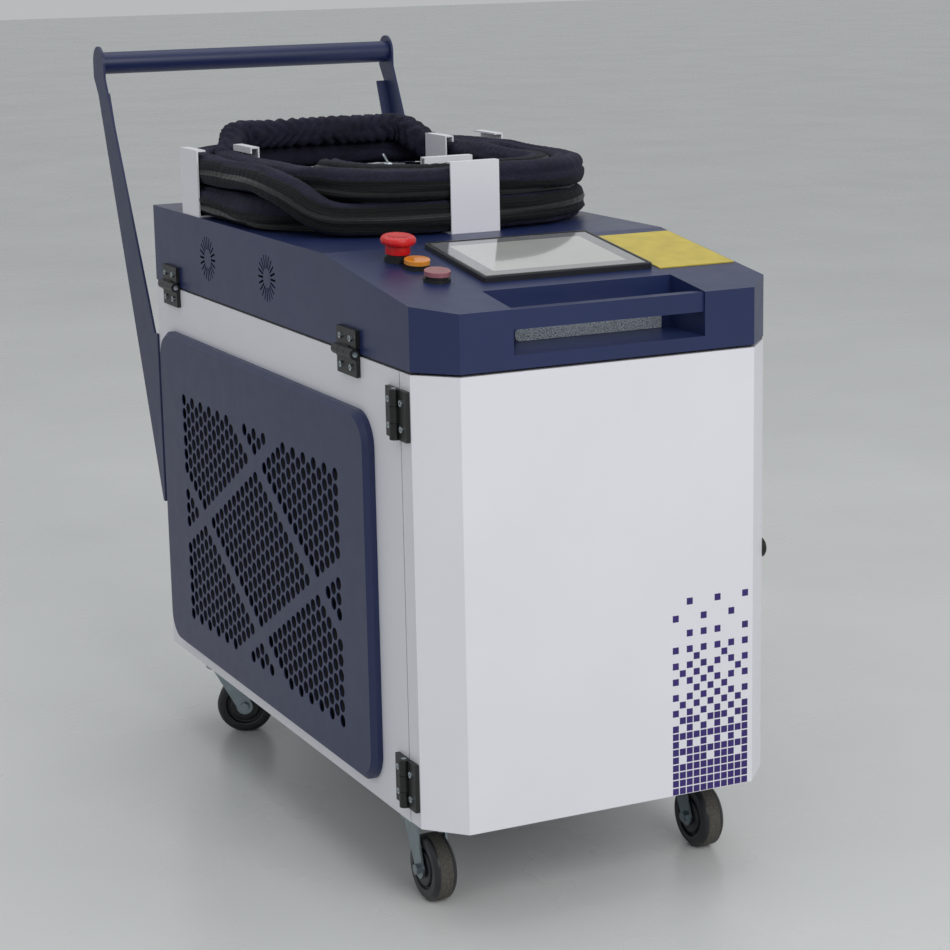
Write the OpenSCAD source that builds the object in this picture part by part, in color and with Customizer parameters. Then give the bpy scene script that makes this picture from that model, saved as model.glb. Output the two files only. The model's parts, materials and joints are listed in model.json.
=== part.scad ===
// Laser cleaning machine on casters, with its hose coiled on the lid.
// X runs across (the grille seen from the front left is on -X), Y from the front face to the back, Z up.
// All modules draw with the front face at y = 0; placed() moves the centre of the length to the origin.

/* [Cabinet] */
// Width over the side panels
body_w = 430; // [400:5:470]
// Length from the front face to the back panel
body_l = 865; // [845:5:960]
// Height from the cabinet's underside to the lid's lower edge
body_h = 502; // [470:2:560]
// Thickness of the folded sheet
sheet_t = 1.5; // [1:0.5:2.5]
// Front corner cut, measured across
corner_x = 38; // [25:1:50]
// Front corner cut, measured along the side
corner_y = 42; // [25:1:50]
// Length of the front door's side returns
door_l = 68; // [60:1:76]
// Gap round the front door
door_gap = 2; // [1:0.5:3]
// Width of the door's folded inner lips
door_lip = 14; // [8:1:18]
// Height of the rubber seal under the lid
seal_h = 3; // [2:0.5:6]
// Thickness of the base plate
base_t = 3; // [2:0.5:5]
// Width of the folded corner posts
post_w = 24; // [18:1:30]

/* [Lid] */
// Height of the lid at the back
lid_h = 99; // [90:1:115]
// Height of the lid's front face
lid_front_h = 63; // [55:1:75]
// Length of the sloped desk, measured level
slope_l = 269; // [250:1:290]
// Width of the hand recess
recess_w = 230; // [180:5:250]
// Depth of the hand recess from the front
recess_l = 74; // [55:1:78]
// Height of the recess floor over the lid's edge
recess_floor = 15; // [8:1:20]
// Height of the pull bar
pull_bar_h = 21; // [15:1:26]
// Depth of the pull bar
pull_bar_l = 15; // [8:1:20]

/* [Control desk] */
// Width of the touch screen's bezel
hmi_w = 207; // [170:1:212]
// Length of the touch screen's bezel
hmi_l = 157; // [130:1:164]
// Height of the bezel over the desk
hmi_t = 7; // [4:1:12]
// Width of the bezel's rim round the glass
glass_rim = 4; // [3:0.5:20]
// Width of the notice plate
notice_w = 96; // [60:1:100]
// Length of the notice plate
notice_l = 149; // [100:1:164]
// Diameter of the emergency stop's head
stop_d = 40; // [30:1:44]
// Height of the emergency stop's head over the desk
stop_h = 29; // [28:1:40]
// Travel of the emergency stop
stop_travel = 4; // [2:0.5:5]
// Diameter of the button collars
collar_d = 30; // [26:1:32]
// Diameter of the lit caps
cap_d = 29; // [28:0.5:32]
// Distance from the emergency stop to the orange button
stop_pitch = 35; // [34:1:42]
// Distance from the orange button to the red one
button_pitch = 54; // [38:1:58]
// Travel of the two lit buttons
button_travel = 3; // [1:0.5:4]

/* [Grille panels] */
// Length of a grille panel
grille_l = 692; // [670:2:710]
// Height of a grille panel
grille_h = 423; // [400:1:440]
// How far a grille panel stands proud of the side
grille_proud = 12.5; // [12.5:0.5:16]
// Corner radius of a grille panel
grille_r = 38; // [25:1:45]
// Bevel round a grille panel's face
grille_bevel = 6; // [2:0.5:7]
// Diameter of the grille's holes
hole_d = 15; // [10:0.5:15.5]
// Distance from hole to hole in a column
hole_pitch = 18; // [17:0.25:19]
// Distance from column to column
hole_column = 16; // [15.5:0.25:17]

/* [Hinges and lock] */
// Length of a hinge along its pin
hinge_l = 54; // [44:2:60]
// Reach of a hinge leaf from the pin
leaf_w = 26; // [22:1:26]
// Thickness of a hinge leaf
leaf_t = 5; // [3:0.5:5.5]
// Diameter of the hinge knuckle
knuckle_d = 12; // [9:0.5:12]
// Diameter of the hinge pin
pin_d = 6; // [3:0.5:7]
// Diameter of the lock's head
lock_d = 23; // [18:1:26]
// How far the lock's head stands out
lock_proud = 9; // [6:0.5:11]

/* [Push handle] */
// Height of the push bar's centre over the lid's edge
bar_z = 276; // [240:2:320]
// Distance of the push bar's centre from the front face
bar_y = 1069; // [1040:1:1110]
// Diameter of the push bar
bar_d = 30; // [24:1:34]
// Thickness of the handle arms
arm_t = 3; // [2:0.5:4]
// Width of the arm's folded rear flange
arm_flange = 13; // [10:1:20]

/* [Casters] */
// Height of a caster from the floor to the cabinet
caster_h = 110; // [106:1:122]
// Diameter of a wheel
wheel_d = 75; // [65:1:76]
// Width of a tyre
wheel_w = 27; // [22:1:28]
// Distance from the swivel's axis to the wheel's axis
trail = 26; // [20:1:30]
// Distance of the swivels from the middle
caster_x = 172; // [150:1:174]
// Place of the front swivels along the cabinet
caster_front = 134; // [120:1:160]
// Place of the rear swivels along the cabinet
caster_rear = 780; // [700:1:790]

/* [Hose and holders] */
// Diameter of the zipped fabric sleeve over the hose
hose_d = 36.5; // [33:0.5:36.5]
// Length of a hose holder across the hose
holder_l = 84; // [84:1:88]
// Width of a hose holder along the hose
holder_w = 63; // [50:1:64]
// Height of a hose holder
holder_h = 84; // [82:1:92]
// Inward lip at the top of a hose holder
holder_lip = 12; // [8:1:14]
// Sheet thickness of a hose holder
holder_t = 2; // [1.5:0.5:2]

/* [Cleaning head] */
// Length of the cleaning head with its nozzle
head_l = 164; // [160:1:168]
// Height of the head's body, lying across
head_h = 46; // [38:1:50]
// Thickness of the head's body
head_t = 50; // [40:1:54]
// Length of the grip
grip_l = 92; // [70:1:96]

/* [Fans] */
// Side of the lid's square fans
fan_s = 60; // [50:1:62]
// Depth of the lid's fans
fan_t = 20; // [15:1:25]
// Slots in a lid fan grille
fan_slots = 20; // [12:1:24]
// Diameter of the condenser's fan
blower_d = 190; // [150:2:200]

/* [Hidden] */

$fn = 48;
over = 1;            // overrun of a cut past the face it opens
slip = 0.05;         // radial clearance of a turning fit
seat = 0.3;          // clearance of a piece laid against another body

arm_head_r = 23;        // round end of the handle arm about the bar
overall_l = bar_y + arm_head_r;
lid_z = caster_h + body_h;
panel_top = lid_z - seal_h;
lid_top = lid_z + lid_h;
desk_angle = atan((lid_h - lid_front_h) / slope_l);
side_x = body_w / 2;
side_y = door_l + door_gap;
inner_x = side_x - sheet_t;

module placed() translate([0, -overall_l / 2, 0]) children();

module block(low, high) translate(low) cube(high - low);

module both_sides() {
    children();
    mirror([1, 0, 0]) children();
}

// Places of the outline, seen from above: cut front corners, square at the back
function outline(inset, back) = [
    [-side_x + inset, back],
    [-side_x + inset, corner_y],
    [-side_x + corner_x, inset],
    [side_x - corner_x, inset],
    [side_x - inset, corner_y],
    [side_x - inset, back]
];

// Cabinet shell
flange_w = 18;         // folded edges of the side and back panels
sill_h = 34;           // upturned front edge of the frame
header_h = 22;         // top rail of the frame
tray_edge_h = 25;      // upturned edges of the base tray
vent_w = 80;           // openings behind the grilles
vent_h = 92;
vent_gap_x = 14;
vent_gap_z = 20;
vent_columns = 6;
vent_rows = 3;
grille_y = 487;        // centre of the grille panels from the front
grille_low = 21.5;     // centre of the grille panels under the cabinet's middle
grille_z = caster_h + body_h / 2 - grille_low;
hole_shift = [-5, -13.5];    // centre of the hole field from the panel's centre, along and up
lock_y = 56;           // axis of the door lock
lock_drop = 245;        // axis of the door lock under the lid's edge
lock_z = lid_z - lock_drop;
lock_cam_t = 3;
claw_in = 20;          // inner and outer radius of the lock's claw
claw_out = 26;
cam_inset = 20;         // inner face of the claw from the inside of the wall
cam_x = inner_x - cam_inset;

module base_tray() {
    color("gainsboro") placed() {
        block([-inner_x, side_y + sheet_t, caster_h], [inner_x, body_l - sheet_t, caster_h + base_t]);
        both_sides() block([inner_x - sheet_t, side_y + sheet_t, caster_h],
                           [inner_x, body_l - sheet_t, caster_h + tray_edge_h]);
    }
}

module front_frame() {
    color("gainsboro") placed() difference() {
        block([-inner_x, side_y, caster_h], [inner_x, side_y + sheet_t, panel_top]);
        block([-inner_x + post_w, side_y - over, caster_h + sill_h],
              [inner_x - post_w, side_y + sheet_t + over, panel_top - header_h]);
        // the claw of the lock passes through this slot
        block([cam_x - lock_cam_t, side_y - over, lock_z + claw_in / 2],
              [cam_x + lock_cam_t * 2, side_y + sheet_t + over, lock_z + claw_out + lock_cam_t]);
    }
}

module side_panel() {
    vent_x0 = grille_y + hole_shift[0] - (vent_columns * (vent_w + vent_gap_x) - vent_gap_x) / 2;
    vent_z0 = grille_z + hole_shift[1] - (vent_rows * (vent_h + vent_gap_z) - vent_gap_z) / 2;
    difference() {
        block([inner_x, side_y, caster_h], [side_x, body_l, panel_top]);
        for (i = [0:vent_columns - 1], j = [0:vent_rows - 1])
            translate([0, vent_x0 + i * (vent_w + vent_gap_x), vent_z0 + j * (vent_h + vent_gap_z)])
                block([inner_x - over, 0, 0], [side_x + over, vent_w, vent_h]);
    }
    block([inner_x - flange_w, side_y + sheet_t, panel_top - sheet_t],
          [inner_x, body_l - sheet_t, panel_top]);
}

module left_side_panel() {
    color("whitesmoke") placed() mirror([1, 0, 0]) side_panel();
}

module right_side_panel() {
    color("whitesmoke") placed() side_panel();
}

// Vents, gland and breaker on the back
louvre_w = 100;
louvre_h = 6;
louvre_pitch = 16;
louvre_rows = 6;
louvre_x = 60;
louvre_drop = 170;
louvre_z = lid_z - louvre_drop;
gland_x = -120;
gland_rise = 70;
gland_z = caster_h + gland_rise;
gland_r = 12;
breaker_x = 110;
breaker_rise = 80;
breaker_z = caster_h + breaker_rise;
breaker_w = 54;
breaker_h = 86;
breaker_t = 30;

module back_panel() {
    color("whitesmoke") placed() {
        difference() {
            block([-inner_x, body_l - sheet_t, caster_h], [inner_x, body_l, panel_top]);
            both_sides() for (i = [0:louvre_rows - 1])
                translate([louvre_x, body_l, louvre_z + i * louvre_pitch])
                    block([-louvre_w / 2, -sheet_t - over, 0], [louvre_w / 2, over, louvre_h]);
            translate([gland_x, body_l + over, gland_z]) rotate([90, 0, 0])
                cylinder(h = sheet_t + over * 2, r = gland_r);
            translate([breaker_x, body_l, breaker_z])
                block([-breaker_w / 2 + breaker_t / 4, -sheet_t - over, -breaker_h / 2 + breaker_t / 4],
                      [breaker_w / 2 - breaker_t / 4, over, breaker_h / 2 - breaker_t / 4]);
        }
        block([-inner_x + flange_w, body_l - sheet_t - flange_w, panel_top - sheet_t],
              [inner_x - flange_w, body_l - sheet_t, panel_top]);
    }
}

// Shelf between the chiller below and the laser source above
floor_z = caster_h + base_t;
shelf_clear = 31;       // from the condenser's top to the shelf
shroud_wall = 4;
cooler_margin = 15;     // from the shroud's round opening to the cooler's edge
cooler_w = blower_d + shroud_wall * 2 + cooler_margin * 2;
shelf_z = floor_z + cooler_w + shelf_clear;
shelf_lip = 16;
shelf_gap = 30;         // from the front frame to the shelf
shelf_y = side_y + shelf_gap;
cable_hole_r = 22;

module equipment_shelf() {
    color("silver") placed() difference() {
        union() {
            block([-inner_x, shelf_y, shelf_z], [inner_x, body_l - sheet_t, shelf_z + sheet_t]);
            both_sides() block([inner_x - sheet_t, shelf_y, shelf_z - shelf_lip],
                               [inner_x, body_l - sheet_t, shelf_z]);
        }
        for (x = [-inner_x + post_w * 2, inner_x - post_w * 2])
            translate([x, body_l - post_w * 2, shelf_z - over])
                cylinder(h = sheet_t + over * 2, r = cable_hole_r);
    }
}

// Grille panel, drawn lying flat with its face up and its length along X
rim_x = 88;            // plain border from the outer hole centres to the panel's ends
rim_z = 66;            // and to its long edges
band_share = 6;        // each sixth diagonal of the hole lattice is left out

module bevelled(l, w, t, r, bevel) {
    for (x = [-l / 2 + r, l / 2 - r], y = [-w / 2 + r, w / 2 - r]) translate([x, y, 0]) {
        cylinder(h = t - bevel, r = r);
        translate([0, 0, t - bevel]) cylinder(h = bevel, r1 = r, r2 = r - bevel);
    }
    translate([0, w / 2 - r, 0]) rotate([90, 0, 0]) linear_extrude(w - r * 2)
        polygon([[-l / 2, 0], [l / 2, 0], [l / 2, t - bevel], [l / 2 - bevel, t],
                 [-l / 2 + bevel, t], [-l / 2, t - bevel]]);
    translate([-l / 2 + r, 0, 0]) rotate([90, 0, 90]) linear_extrude(l - r * 2)
        polygon([[-w / 2, 0], [w / 2, 0], [w / 2, t - bevel], [w / 2 - bevel, t],
                 [-w / 2 + bevel, t], [-w / 2, t - bevel]]);
}

// A hole is kept unless it lies on one of the four plain bands
function banded(i, row) = abs(row + i / 2) == band_share || abs(row - i / 2) == band_share;

module hole_field(thickness) {
    columns = floor((grille_l / 2 - rim_x) / hole_column);
    rows = floor((grille_h / 2 - rim_z) / (hole_pitch / 2)) / 2;
    translate(hole_shift) linear_extrude(thickness) for (i = [-columns:columns])
        for (row = [-rows + abs(rows * 2 + i) % 2 / 2:rows])
            if (!banded(i, row))
                translate([i * hole_column, row * hole_pitch]) circle(d = hole_d, $fn = 24);
}

module grille_panel() {
    difference() {
        bevelled(grille_l, grille_h, grille_proud, grille_r, grille_bevel);
        translate([0, 0, -over]) bevelled(grille_l - sheet_t * 2, grille_h - sheet_t * 2,
            grille_proud - sheet_t + over, grille_r - sheet_t, grille_bevel);
        translate([0, 0, grille_proud - sheet_t - over]) hole_field(sheet_t + over * 2);
    }
}

module left_grille_panel() {
    color("darkslateblue") placed() mirror([1, 0, 0]) translate([side_x, grille_y, grille_z])
        rotate([90, 0, 90]) grille_panel();
}

module right_grille_panel() {
    color("darkslateblue") placed() translate([side_x, grille_y, grille_z])
        rotate([90, 0, 90]) grille_panel();
}

filter_t = 7;
filter_gap = 23;        // from the grille's edge to the filter
filter_l = grille_l - filter_gap * 2;
filter_h = grille_h - filter_gap * 2;

module dust_filters() {
    color("dimgray") placed() both_sides()
        block([side_x, grille_y - filter_l / 2, grille_z - filter_h / 2],
              [side_x + filter_t, grille_y + filter_l / 2, grille_z + filter_h / 2]);
}

// Hinge with its pin along Z at the origin; a leaf lies on the wall at x = wall and reaches to +Y or -Y
pin_x = side_x + knuckle_d / 2 + seat;
wall_gap = knuckle_d / 2 + seat;
knuckle_gap = 0.4;
leaf_screw_d = 7;
leaf_screw_inset = 13;
leaf_screw_h = 2.2;
door_hinge_drop = 48;           // middle of the upper door hinge under the lid's edge
door_hinge_rise = 46;           // middle of the lower door hinge over the cabinet's underside
door_hinge_z = [lid_z - door_hinge_drop, caster_h + door_hinge_rise];
lid_hinge_y = [200, 796];

module leaf(outer) {
    part = hinge_l / 3;
    module arm() {
        cylinder(h = part - knuckle_gap, d = knuckle_d);
        block([0, 0, 0], [wall_gap, knuckle_d / 2 + seat + over, part - knuckle_gap]);
    }
    difference() {
        union() {
            block([wall_gap - leaf_t, knuckle_d / 2 + seat, -hinge_l / 2],
                  [wall_gap, leaf_w, hinge_l / 2]);
            if (outer) {
                translate([0, 0, -hinge_l / 2]) arm();
                translate([0, 0, hinge_l / 2 - part + knuckle_gap]) arm();
            } else translate([0, 0, -part / 2 + knuckle_gap / 2]) arm();
        }
        translate([0, 0, -hinge_l / 2 - over])
            cylinder(h = hinge_l + over * 2, d = pin_d + (outer ? 0 : slip * 2));
    }
}

module leaf_screws() {
    for (s = [-1, 1])
        translate([wall_gap - leaf_t, leaf_w / 2 + knuckle_d / 4, s * (hinge_l / 2 - leaf_screw_inset)])
            rotate([0, -90, 0]) difference() {
                cylinder(h = leaf_screw_h, d = leaf_screw_d);
                translate([0, 0, leaf_screw_h / 2])
                    cylinder(h = leaf_screw_h, d = leaf_screw_d / 2, $fn = 6);
            }
}

// Puts a hinge drawn round the Z axis at the door's or the lid's places
module at_door_hinges() for (z = door_hinge_z) translate([-pin_x, side_y, z]) children();
module at_lid_hinges()
    for (y = lid_hinge_y) translate([-pin_x, y, lid_z]) rotate([-90, 0, 0]) children();

module fixed_hinge_leaves() {
    color("black") placed() {
        at_door_hinges() leaf(true);
        at_lid_hinges() leaf(true);
    }
}

module hinge_pins() {
    color("silver") placed() {
        at_door_hinges() hinge_pin();
        at_lid_hinges() hinge_pin();
    }
}

module hinge_pin() {
    translate([0, 0, -hinge_l / 2 - over]) cylinder(h = hinge_l + over * 2, d = pin_d);
}

module door_hinge_leaves() {
    color("black") placed() at_door_hinges() mirror([0, 1, 0]) leaf(false);
}

module door_screws() {
    color("dimgray") placed() at_door_hinges() mirror([0, 1, 0]) leaf_screws();
}

module lid_hinge_leaves() {
    color("black") placed() at_lid_hinges() mirror([0, 1, 0]) leaf(false);
}

module lid_screws() {
    color("dimgray") placed() at_lid_hinges() mirror([0, 1, 0]) leaf_screws();
}

// Screws on the cabinet: hinge leaves, grille panels' rims and handle arms' flanges
panel_screw_d = 9;
panel_screw_h = 2.5;
panel_screw_z = [-110, -190, -270];

module panel_screw() {
    difference() {
        cylinder(h = panel_screw_h, d = panel_screw_d);
        translate([0, 0, panel_screw_h / 2])
            cylinder(h = panel_screw_h, d = panel_screw_d / 2, $fn = 6);
    }
}

module cabinet_screws() {
    color("dimgray") placed() {
        at_door_hinges() leaf_screws();
        at_lid_hinges() leaf_screws();
        both_sides() for (z = panel_screw_z)
            translate([side_x - arm_foot_w / 2, body_l + arm_t, lid_z + z])
                rotate([-90, 0, 0]) panel_screw();
    }
}

// Front door: a deep pan with cut corners; its inner lips face the frame
module door_prism(inset, low, high, back)
    translate([0, 0, low]) linear_extrude(high - low) polygon(outline(inset, back));

module front_door() {
    low = caster_h + door_gap / 2;
    high = panel_top;
    color("whitesmoke") placed() {
        difference() {
            door_prism(0, low, high, door_l);
            door_prism(sheet_t, low + sheet_t, high - sheet_t, door_l - sheet_t);
            block([-inner_x + door_lip, corner_y, low + door_lip],
                  [inner_x - door_lip, door_l + over, high - door_lip]);
            translate([inner_x - over, lock_y, lock_z]) rotate([0, 90, 0])
                cylinder(h = sheet_t + over * 2, d = lock_shank_d);
        }
    }
}

// Lock: head outside the door's return, shank and nut inside, and a barrel that carries the claw
lock_shank_d = 17;
lock_head_fillet = 1.5;
lock_nut_d = 24;
lock_nut_t = 4;
barrel_d = 9;
key_w = 1.6;
key_h = 6;
claw_arc = 80;          // degrees of arc that the claw spans
claw_rest = 65;         // degrees over the horizontal at which its tip rests
claw_arm_w = 8;

module lock_body() {
    color("black") placed() translate([0, lock_y, lock_z]) rotate([0, 90, 0]) difference() {
        union() {
            translate([0, 0, side_x]) cylinder(h = lock_proud - lock_head_fillet, d = lock_d);
            translate([0, 0, side_x + lock_proud - lock_head_fillet])
                cylinder(h = lock_head_fillet, d1 = lock_d, d2 = lock_d - lock_head_fillet * 2);
            translate([0, 0, cam_x + lock_cam_t + seat])
                cylinder(h = side_x - cam_x - lock_cam_t - seat, d = lock_shank_d);
            translate([0, 0, inner_x - lock_nut_t]) cylinder(h = lock_nut_t, d = lock_nut_d, $fn = 6);
        }
        translate([0, 0, cam_x]) cylinder(h = side_x + lock_proud - cam_x + over, d = barrel_d + slip * 2);
    }
}

module lock_barrel() {
    color("silver") placed() translate([0, lock_y, lock_z]) {
        difference() {
            translate([cam_x, 0, 0]) rotate([0, 90, 0])
                cylinder(h = side_x + lock_proud - lock_head_fillet - cam_x, d = barrel_d);
            translate([side_x + lock_proud - lock_head_fillet * 3, 0, 0])
                block([0, -key_w / 2, -key_h / 2], [lock_head_fillet * 3, key_w / 2, key_h / 2]);
        }
        translate([cam_x, 0, 0]) rotate([90, 0, 90]) linear_extrude(lock_cam_t) claw();
    }
}

module claw() {
    last = claw_rest + claw_arc;
    steps = 8;
    polygon(concat(
        [for (i = [0:steps]) let (a = claw_rest + claw_arc * i / steps) claw_in * [cos(a), sin(a)]],
        [for (i = [steps:-1:0]) let (a = claw_rest + claw_arc * i / steps) claw_out * [cos(a), sin(a)]]));
    rotate(last) translate([0, -claw_arm_w]) square([claw_out - over, claw_arm_w]);
    circle(d = barrel_d + claw_arm_w / 2);
}

// Lid: a folded cover, lower and sloped in front, with a hand recess cut into its nose
pull_bar_y = 3;         // set back of the pull bar from the front face
pull_bar_drop = 1;      // top of the pull bar under the desk's edge
lid_fan_y = [450, 657];
lid_fan_rise = 50;
lid_fan_z = lid_z + lid_fan_rise;
slot_in = 12;           // inner and outer radius of the fan grilles' slots
slot_out = 28;
slot_w = 2.6;
screen_y = 180;
screen_x = 5.5;
screen_box_w = 100;     // housing behind the touch screen
screen_box_l = 90;
screen_box_t = 22;
notice_x = 164;
notice_y = 173;
notice_t = 1.2;
stop_y = 215;
button_x = [-149.5, -142, -143];    // emergency stop, orange and red button
button_y = [stop_y, stop_y - stop_pitch, stop_y - stop_pitch - button_pitch];
barrel_bore_d = 22;     // hole of a panel-mounted button
outlet_r = 16;          // through hole of the hose's outlet on the deck
outlet_x0 = -20;        // ends of the outlet's housing
outlet_x1 = 25;
outlet_hole_x = (outlet_x0 + outlet_x1) / 2;

function desk_z(y) = lid_z + lid_front_h + y * tan(desk_angle);

// Draws on the sloped desk, z along its normal
module on_desk(x, y) translate([x, y, desk_z(y)]) rotate([desk_angle, 0, 0]) children();

module lid_solid(inset, low) {
    drop = inset / cos(desk_angle);
    intersection() {
        translate([0, 0, lid_z + low]) linear_extrude(lid_h * 2) polygon(outline(inset, body_l - inset));
        rotate([90, 0, 90]) translate([0, 0, -side_x]) linear_extrude(body_w)
            polygon([[-over, lid_z + low], [-over, lid_z + lid_front_h - drop],
                     [0, lid_z + lid_front_h - drop], [slope_l, lid_top - drop],
                     [body_l + over, lid_top - inset], [body_l + over, lid_z + low]]);
    }
}

module recess_prism(wall) {
    block([-recess_w / 2 - wall, -over, lid_z + recess_floor - wall],
          [recess_w / 2 + wall, recess_l + wall, lid_top]);
}

module fan_slots_cut() {
    for (i = [0:fan_slots - 1]) rotate([i * 360 / fan_slots, 0, 0])
        block([-side_x - over, -slot_w / 2, slot_in], [-inner_x + over, slot_w / 2, slot_out]);
}

module lid_cover() {
    color("midnightblue") placed() difference() {
        union() {
            difference() {
                lid_solid(0, 0);
                lid_solid(sheet_t, -over);
            }
            intersection() {
                lid_solid(0, 0);
                recess_prism(sheet_t);
            }
            both_sides() block([side_x - flange_w, corner_y, lid_z],
                               [inner_x, body_l - sheet_t, lid_z + sheet_t]);
        }
        recess_prism(0);
        on_desk(screen_x, screen_y) block([-screen_box_w / 2, -screen_box_l / 2, -sheet_t * 3],
                                          [screen_box_w / 2, screen_box_l / 2, over]);
        for (i = [0:2]) on_desk(button_x[i], button_y[i]) translate([0, 0, -sheet_t * 3])
            cylinder(h = sheet_t * 3 + over, d = barrel_bore_d);
        for (y = lid_fan_y) translate([0, y, lid_fan_z]) fan_slots_cut();
        translate([outlet_hole_x, outlet_y, lid_top - sheet_t - over])
            cylinder(h = sheet_t + over * 2, r = outlet_r);
    }
}

module lid_seal() {
    color("dimgray") placed() both_sides()
        block([side_x - flange_w, corner_y, panel_top + seat], [inner_x, body_l - sheet_t, lid_z]);
}

module pull_bar() {
    color("midnightblue") placed()
        translate([0, pull_bar_y, lid_z + lid_front_h - pull_bar_drop])
            block([-recess_w / 2, 0, -pull_bar_h], [recess_w / 2, pull_bar_l, 0]);
}

// Touch screen
bezel_r = 3;
glass_w = hmi_w - glass_rim * 2;
glass_l = hmi_l - glass_rim * 2;
glass_gap = 0.3;
glass_t = 3;
glass_drop = 0.8;       // the glass sits this much under the bezel's face
bezel_bevel = 1.5;

module screen_bezel() {
    color("black") placed() on_desk(screen_x, screen_y) difference() {
        union() {
            bevelled(hmi_w, hmi_l, hmi_t, bezel_r, bezel_bevel);
            block([-screen_box_w / 2, -screen_box_l / 2, -screen_box_t],
                  [screen_box_w / 2, screen_box_l / 2, over]);
        }
        block([-glass_w / 2, -glass_l / 2, hmi_t - glass_t], [glass_w / 2, glass_l / 2, hmi_t + over]);
    }
}

module screen_glass() {
    color("darkslategray") placed() on_desk(screen_x, screen_y)
        block([-glass_w / 2 + glass_gap, -glass_l / 2 + glass_gap, hmi_t - glass_t],
              [glass_w / 2 - glass_gap, glass_l / 2 - glass_gap, hmi_t - glass_drop]);
}

module notice_plate() {
    color("gold") placed() on_desk(notice_x, notice_y)
        block([-notice_w / 2, -notice_l / 2, 0], [notice_w / 2, notice_l / 2, notice_t]);
}

// Push buttons on panel-mounted collars. Each has a low flange and, inside it, a ring that the head
// or cap slides over: [stop, orange, red]
collar_h = [5, 2.5, 3.5];
ring_h = [10, 5.5, 6.8];
ring_d = 24;
stem_d = [14, 20, 20];
barrel_l = 30;
stem_low = 12;          // how far a stem reaches into its collar
stop_neck_d = 28;
stop_disc_t = 10;
stop_rim_r = 5;         // rounding of the head's rim, measured across
rim_steps = 8;
stop_dish_r = 60;
stop_dish_drop = 1.2;
cap_h = [0, 11, 12.3];  // top of the orange and red caps over the desk
cap_roof = 1.5;
cap_bevel = 0.8;

module button_collars() {
    color("black") placed() for (i = [0:2]) on_desk(button_x[i], button_y[i]) difference() {
        union() {
            cylinder(h = collar_h[i], d = collar_d);
            cylinder(h = ring_h[i], d = ring_d);
            translate([0, 0, -barrel_l]) cylinder(h = barrel_l, d = barrel_bore_d);
        }
        translate([0, 0, -barrel_l - over])
            cylinder(h = barrel_l + ring_h[i] + over * 2, d = stem_d[i] + slip * 2);
    }
}

// Room round the ring of a collar, as high as a head or cap that is pressed in by the travel needs
module ring_room(i, travel) {
    translate([0, 0, collar_h[i]])
        cylinder(h = ring_h[i] + travel + seat - collar_h[i], d = ring_d + over);
}

module stop_head() {
    low = collar_h[0] + stop_travel + seat;
    rim = [for (i = [0:rim_steps]) let (a = 180 * i / rim_steps - 90)
        [stop_d / 2 - stop_rim_r * (1 - cos(a)), stop_disc_t / 2 * (1 + sin(a))]];
    color("firebrick") placed() on_desk(button_x[0], button_y[0]) {
        translate([0, 0, -stem_low]) cylinder(h = stop_h - stop_disc_t / 2 + stem_low, d = stem_d[0]);
        difference() {
            union() {
                translate([0, 0, low]) cylinder(h = stop_h - stop_disc_t / 2 - low, d = stop_neck_d);
                translate([0, 0, stop_h - stop_disc_t])
                    rotate_extrude() polygon(concat([[0, 0]], rim, [[0, stop_disc_t]]));
            }
            ring_room(0, stop_travel);
            translate([0, 0, stop_h - stop_dish_drop + stop_dish_r]) sphere(r = stop_dish_r);
        }
    }
}

module cap(i) {
    low = collar_h[i] + button_travel + seat;
    on_desk(button_x[i], button_y[i]) {
        translate([0, 0, -stem_low]) cylinder(h = cap_h[i] - cap_roof / 2 + stem_low, d = stem_d[i]);
        difference() {
            union() {
                translate([0, 0, low]) cylinder(h = cap_h[i] - cap_bevel - low, d = cap_d);
                translate([0, 0, cap_h[i] - cap_bevel])
                    cylinder(h = cap_bevel, d1 = cap_d, d2 = cap_d - cap_bevel * 2);
            }
            ring_room(i, button_travel);
        }
    }
}

module orange_button() {
    color("darkorange") placed() cap(1);
}

module red_button() {
    color("crimson") placed() cap(2);
}

// Lid fans, drawn with the axis along Z and the mounting face at z = 0
fan_wall = 2;
fan_hub_d = 24;
fan_blades = 7;
fan_blade_t = 1.5;
fan_blade_pitch = 35;   // degrees of blade tilt
fan_tip_gap = 1;
spider_t = 3;
spider_w = 4;
fan_pin_d = 4;

module fan_frame() {
    difference() {
        block([-fan_s / 2, -fan_s / 2, 0], [fan_s / 2, fan_s / 2, fan_t]);
        translate([0, 0, -over]) cylinder(h = fan_t + over * 2, d = fan_s - fan_wall * 2);
    }
    translate([0, 0, fan_t - spider_t]) {
        cylinder(h = spider_t, d = fan_hub_d);
        for (a = [0:90:270]) rotate(a) block([fan_hub_d / 2 - over, -spider_w / 2, 0],
                                             [fan_s / 2 - fan_wall / 2, spider_w / 2, spider_t]);
    }
    translate([0, 0, spider_t]) cylinder(h = fan_t - spider_t, d = fan_pin_d);
}

module rotor(hub_d, tip_d, low, high, pin_d, blades, blade_t) {
    tall = high - low;
    difference() {
        translate([0, 0, low]) {
            cylinder(h = tall, d = hub_d);
            intersection() {
                cylinder(h = tall, d = tip_d);
                for (i = [0:blades - 1]) rotate(i * 360 / blades) translate([0, 0, tall / 2])
                    rotate([fan_blade_pitch, 0, 0])
                        block([hub_d / 2 - over * 2, -tall, -blade_t / 2],
                              [tip_d / 2 + over, tall, blade_t / 2]);
            }
        }
        translate([0, 0, low - over]) cylinder(h = tall + over * 2, d = pin_d + slip * 2);
    }
}

module at_lid_fan(y) translate([-inner_x, y, lid_fan_z]) rotate([0, 90, 0]) children();

module lid_fan_frames() {
    color("black") placed() for (y = lid_fan_y) at_lid_fan(y) fan_frame();
}

module lid_rotor() rotor(fan_hub_d, fan_s - fan_wall * 2 - fan_tip_gap * 2, spider_t,
                         fan_t - spider_t - seat, fan_pin_d, fan_blades, fan_blade_t);

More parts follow.
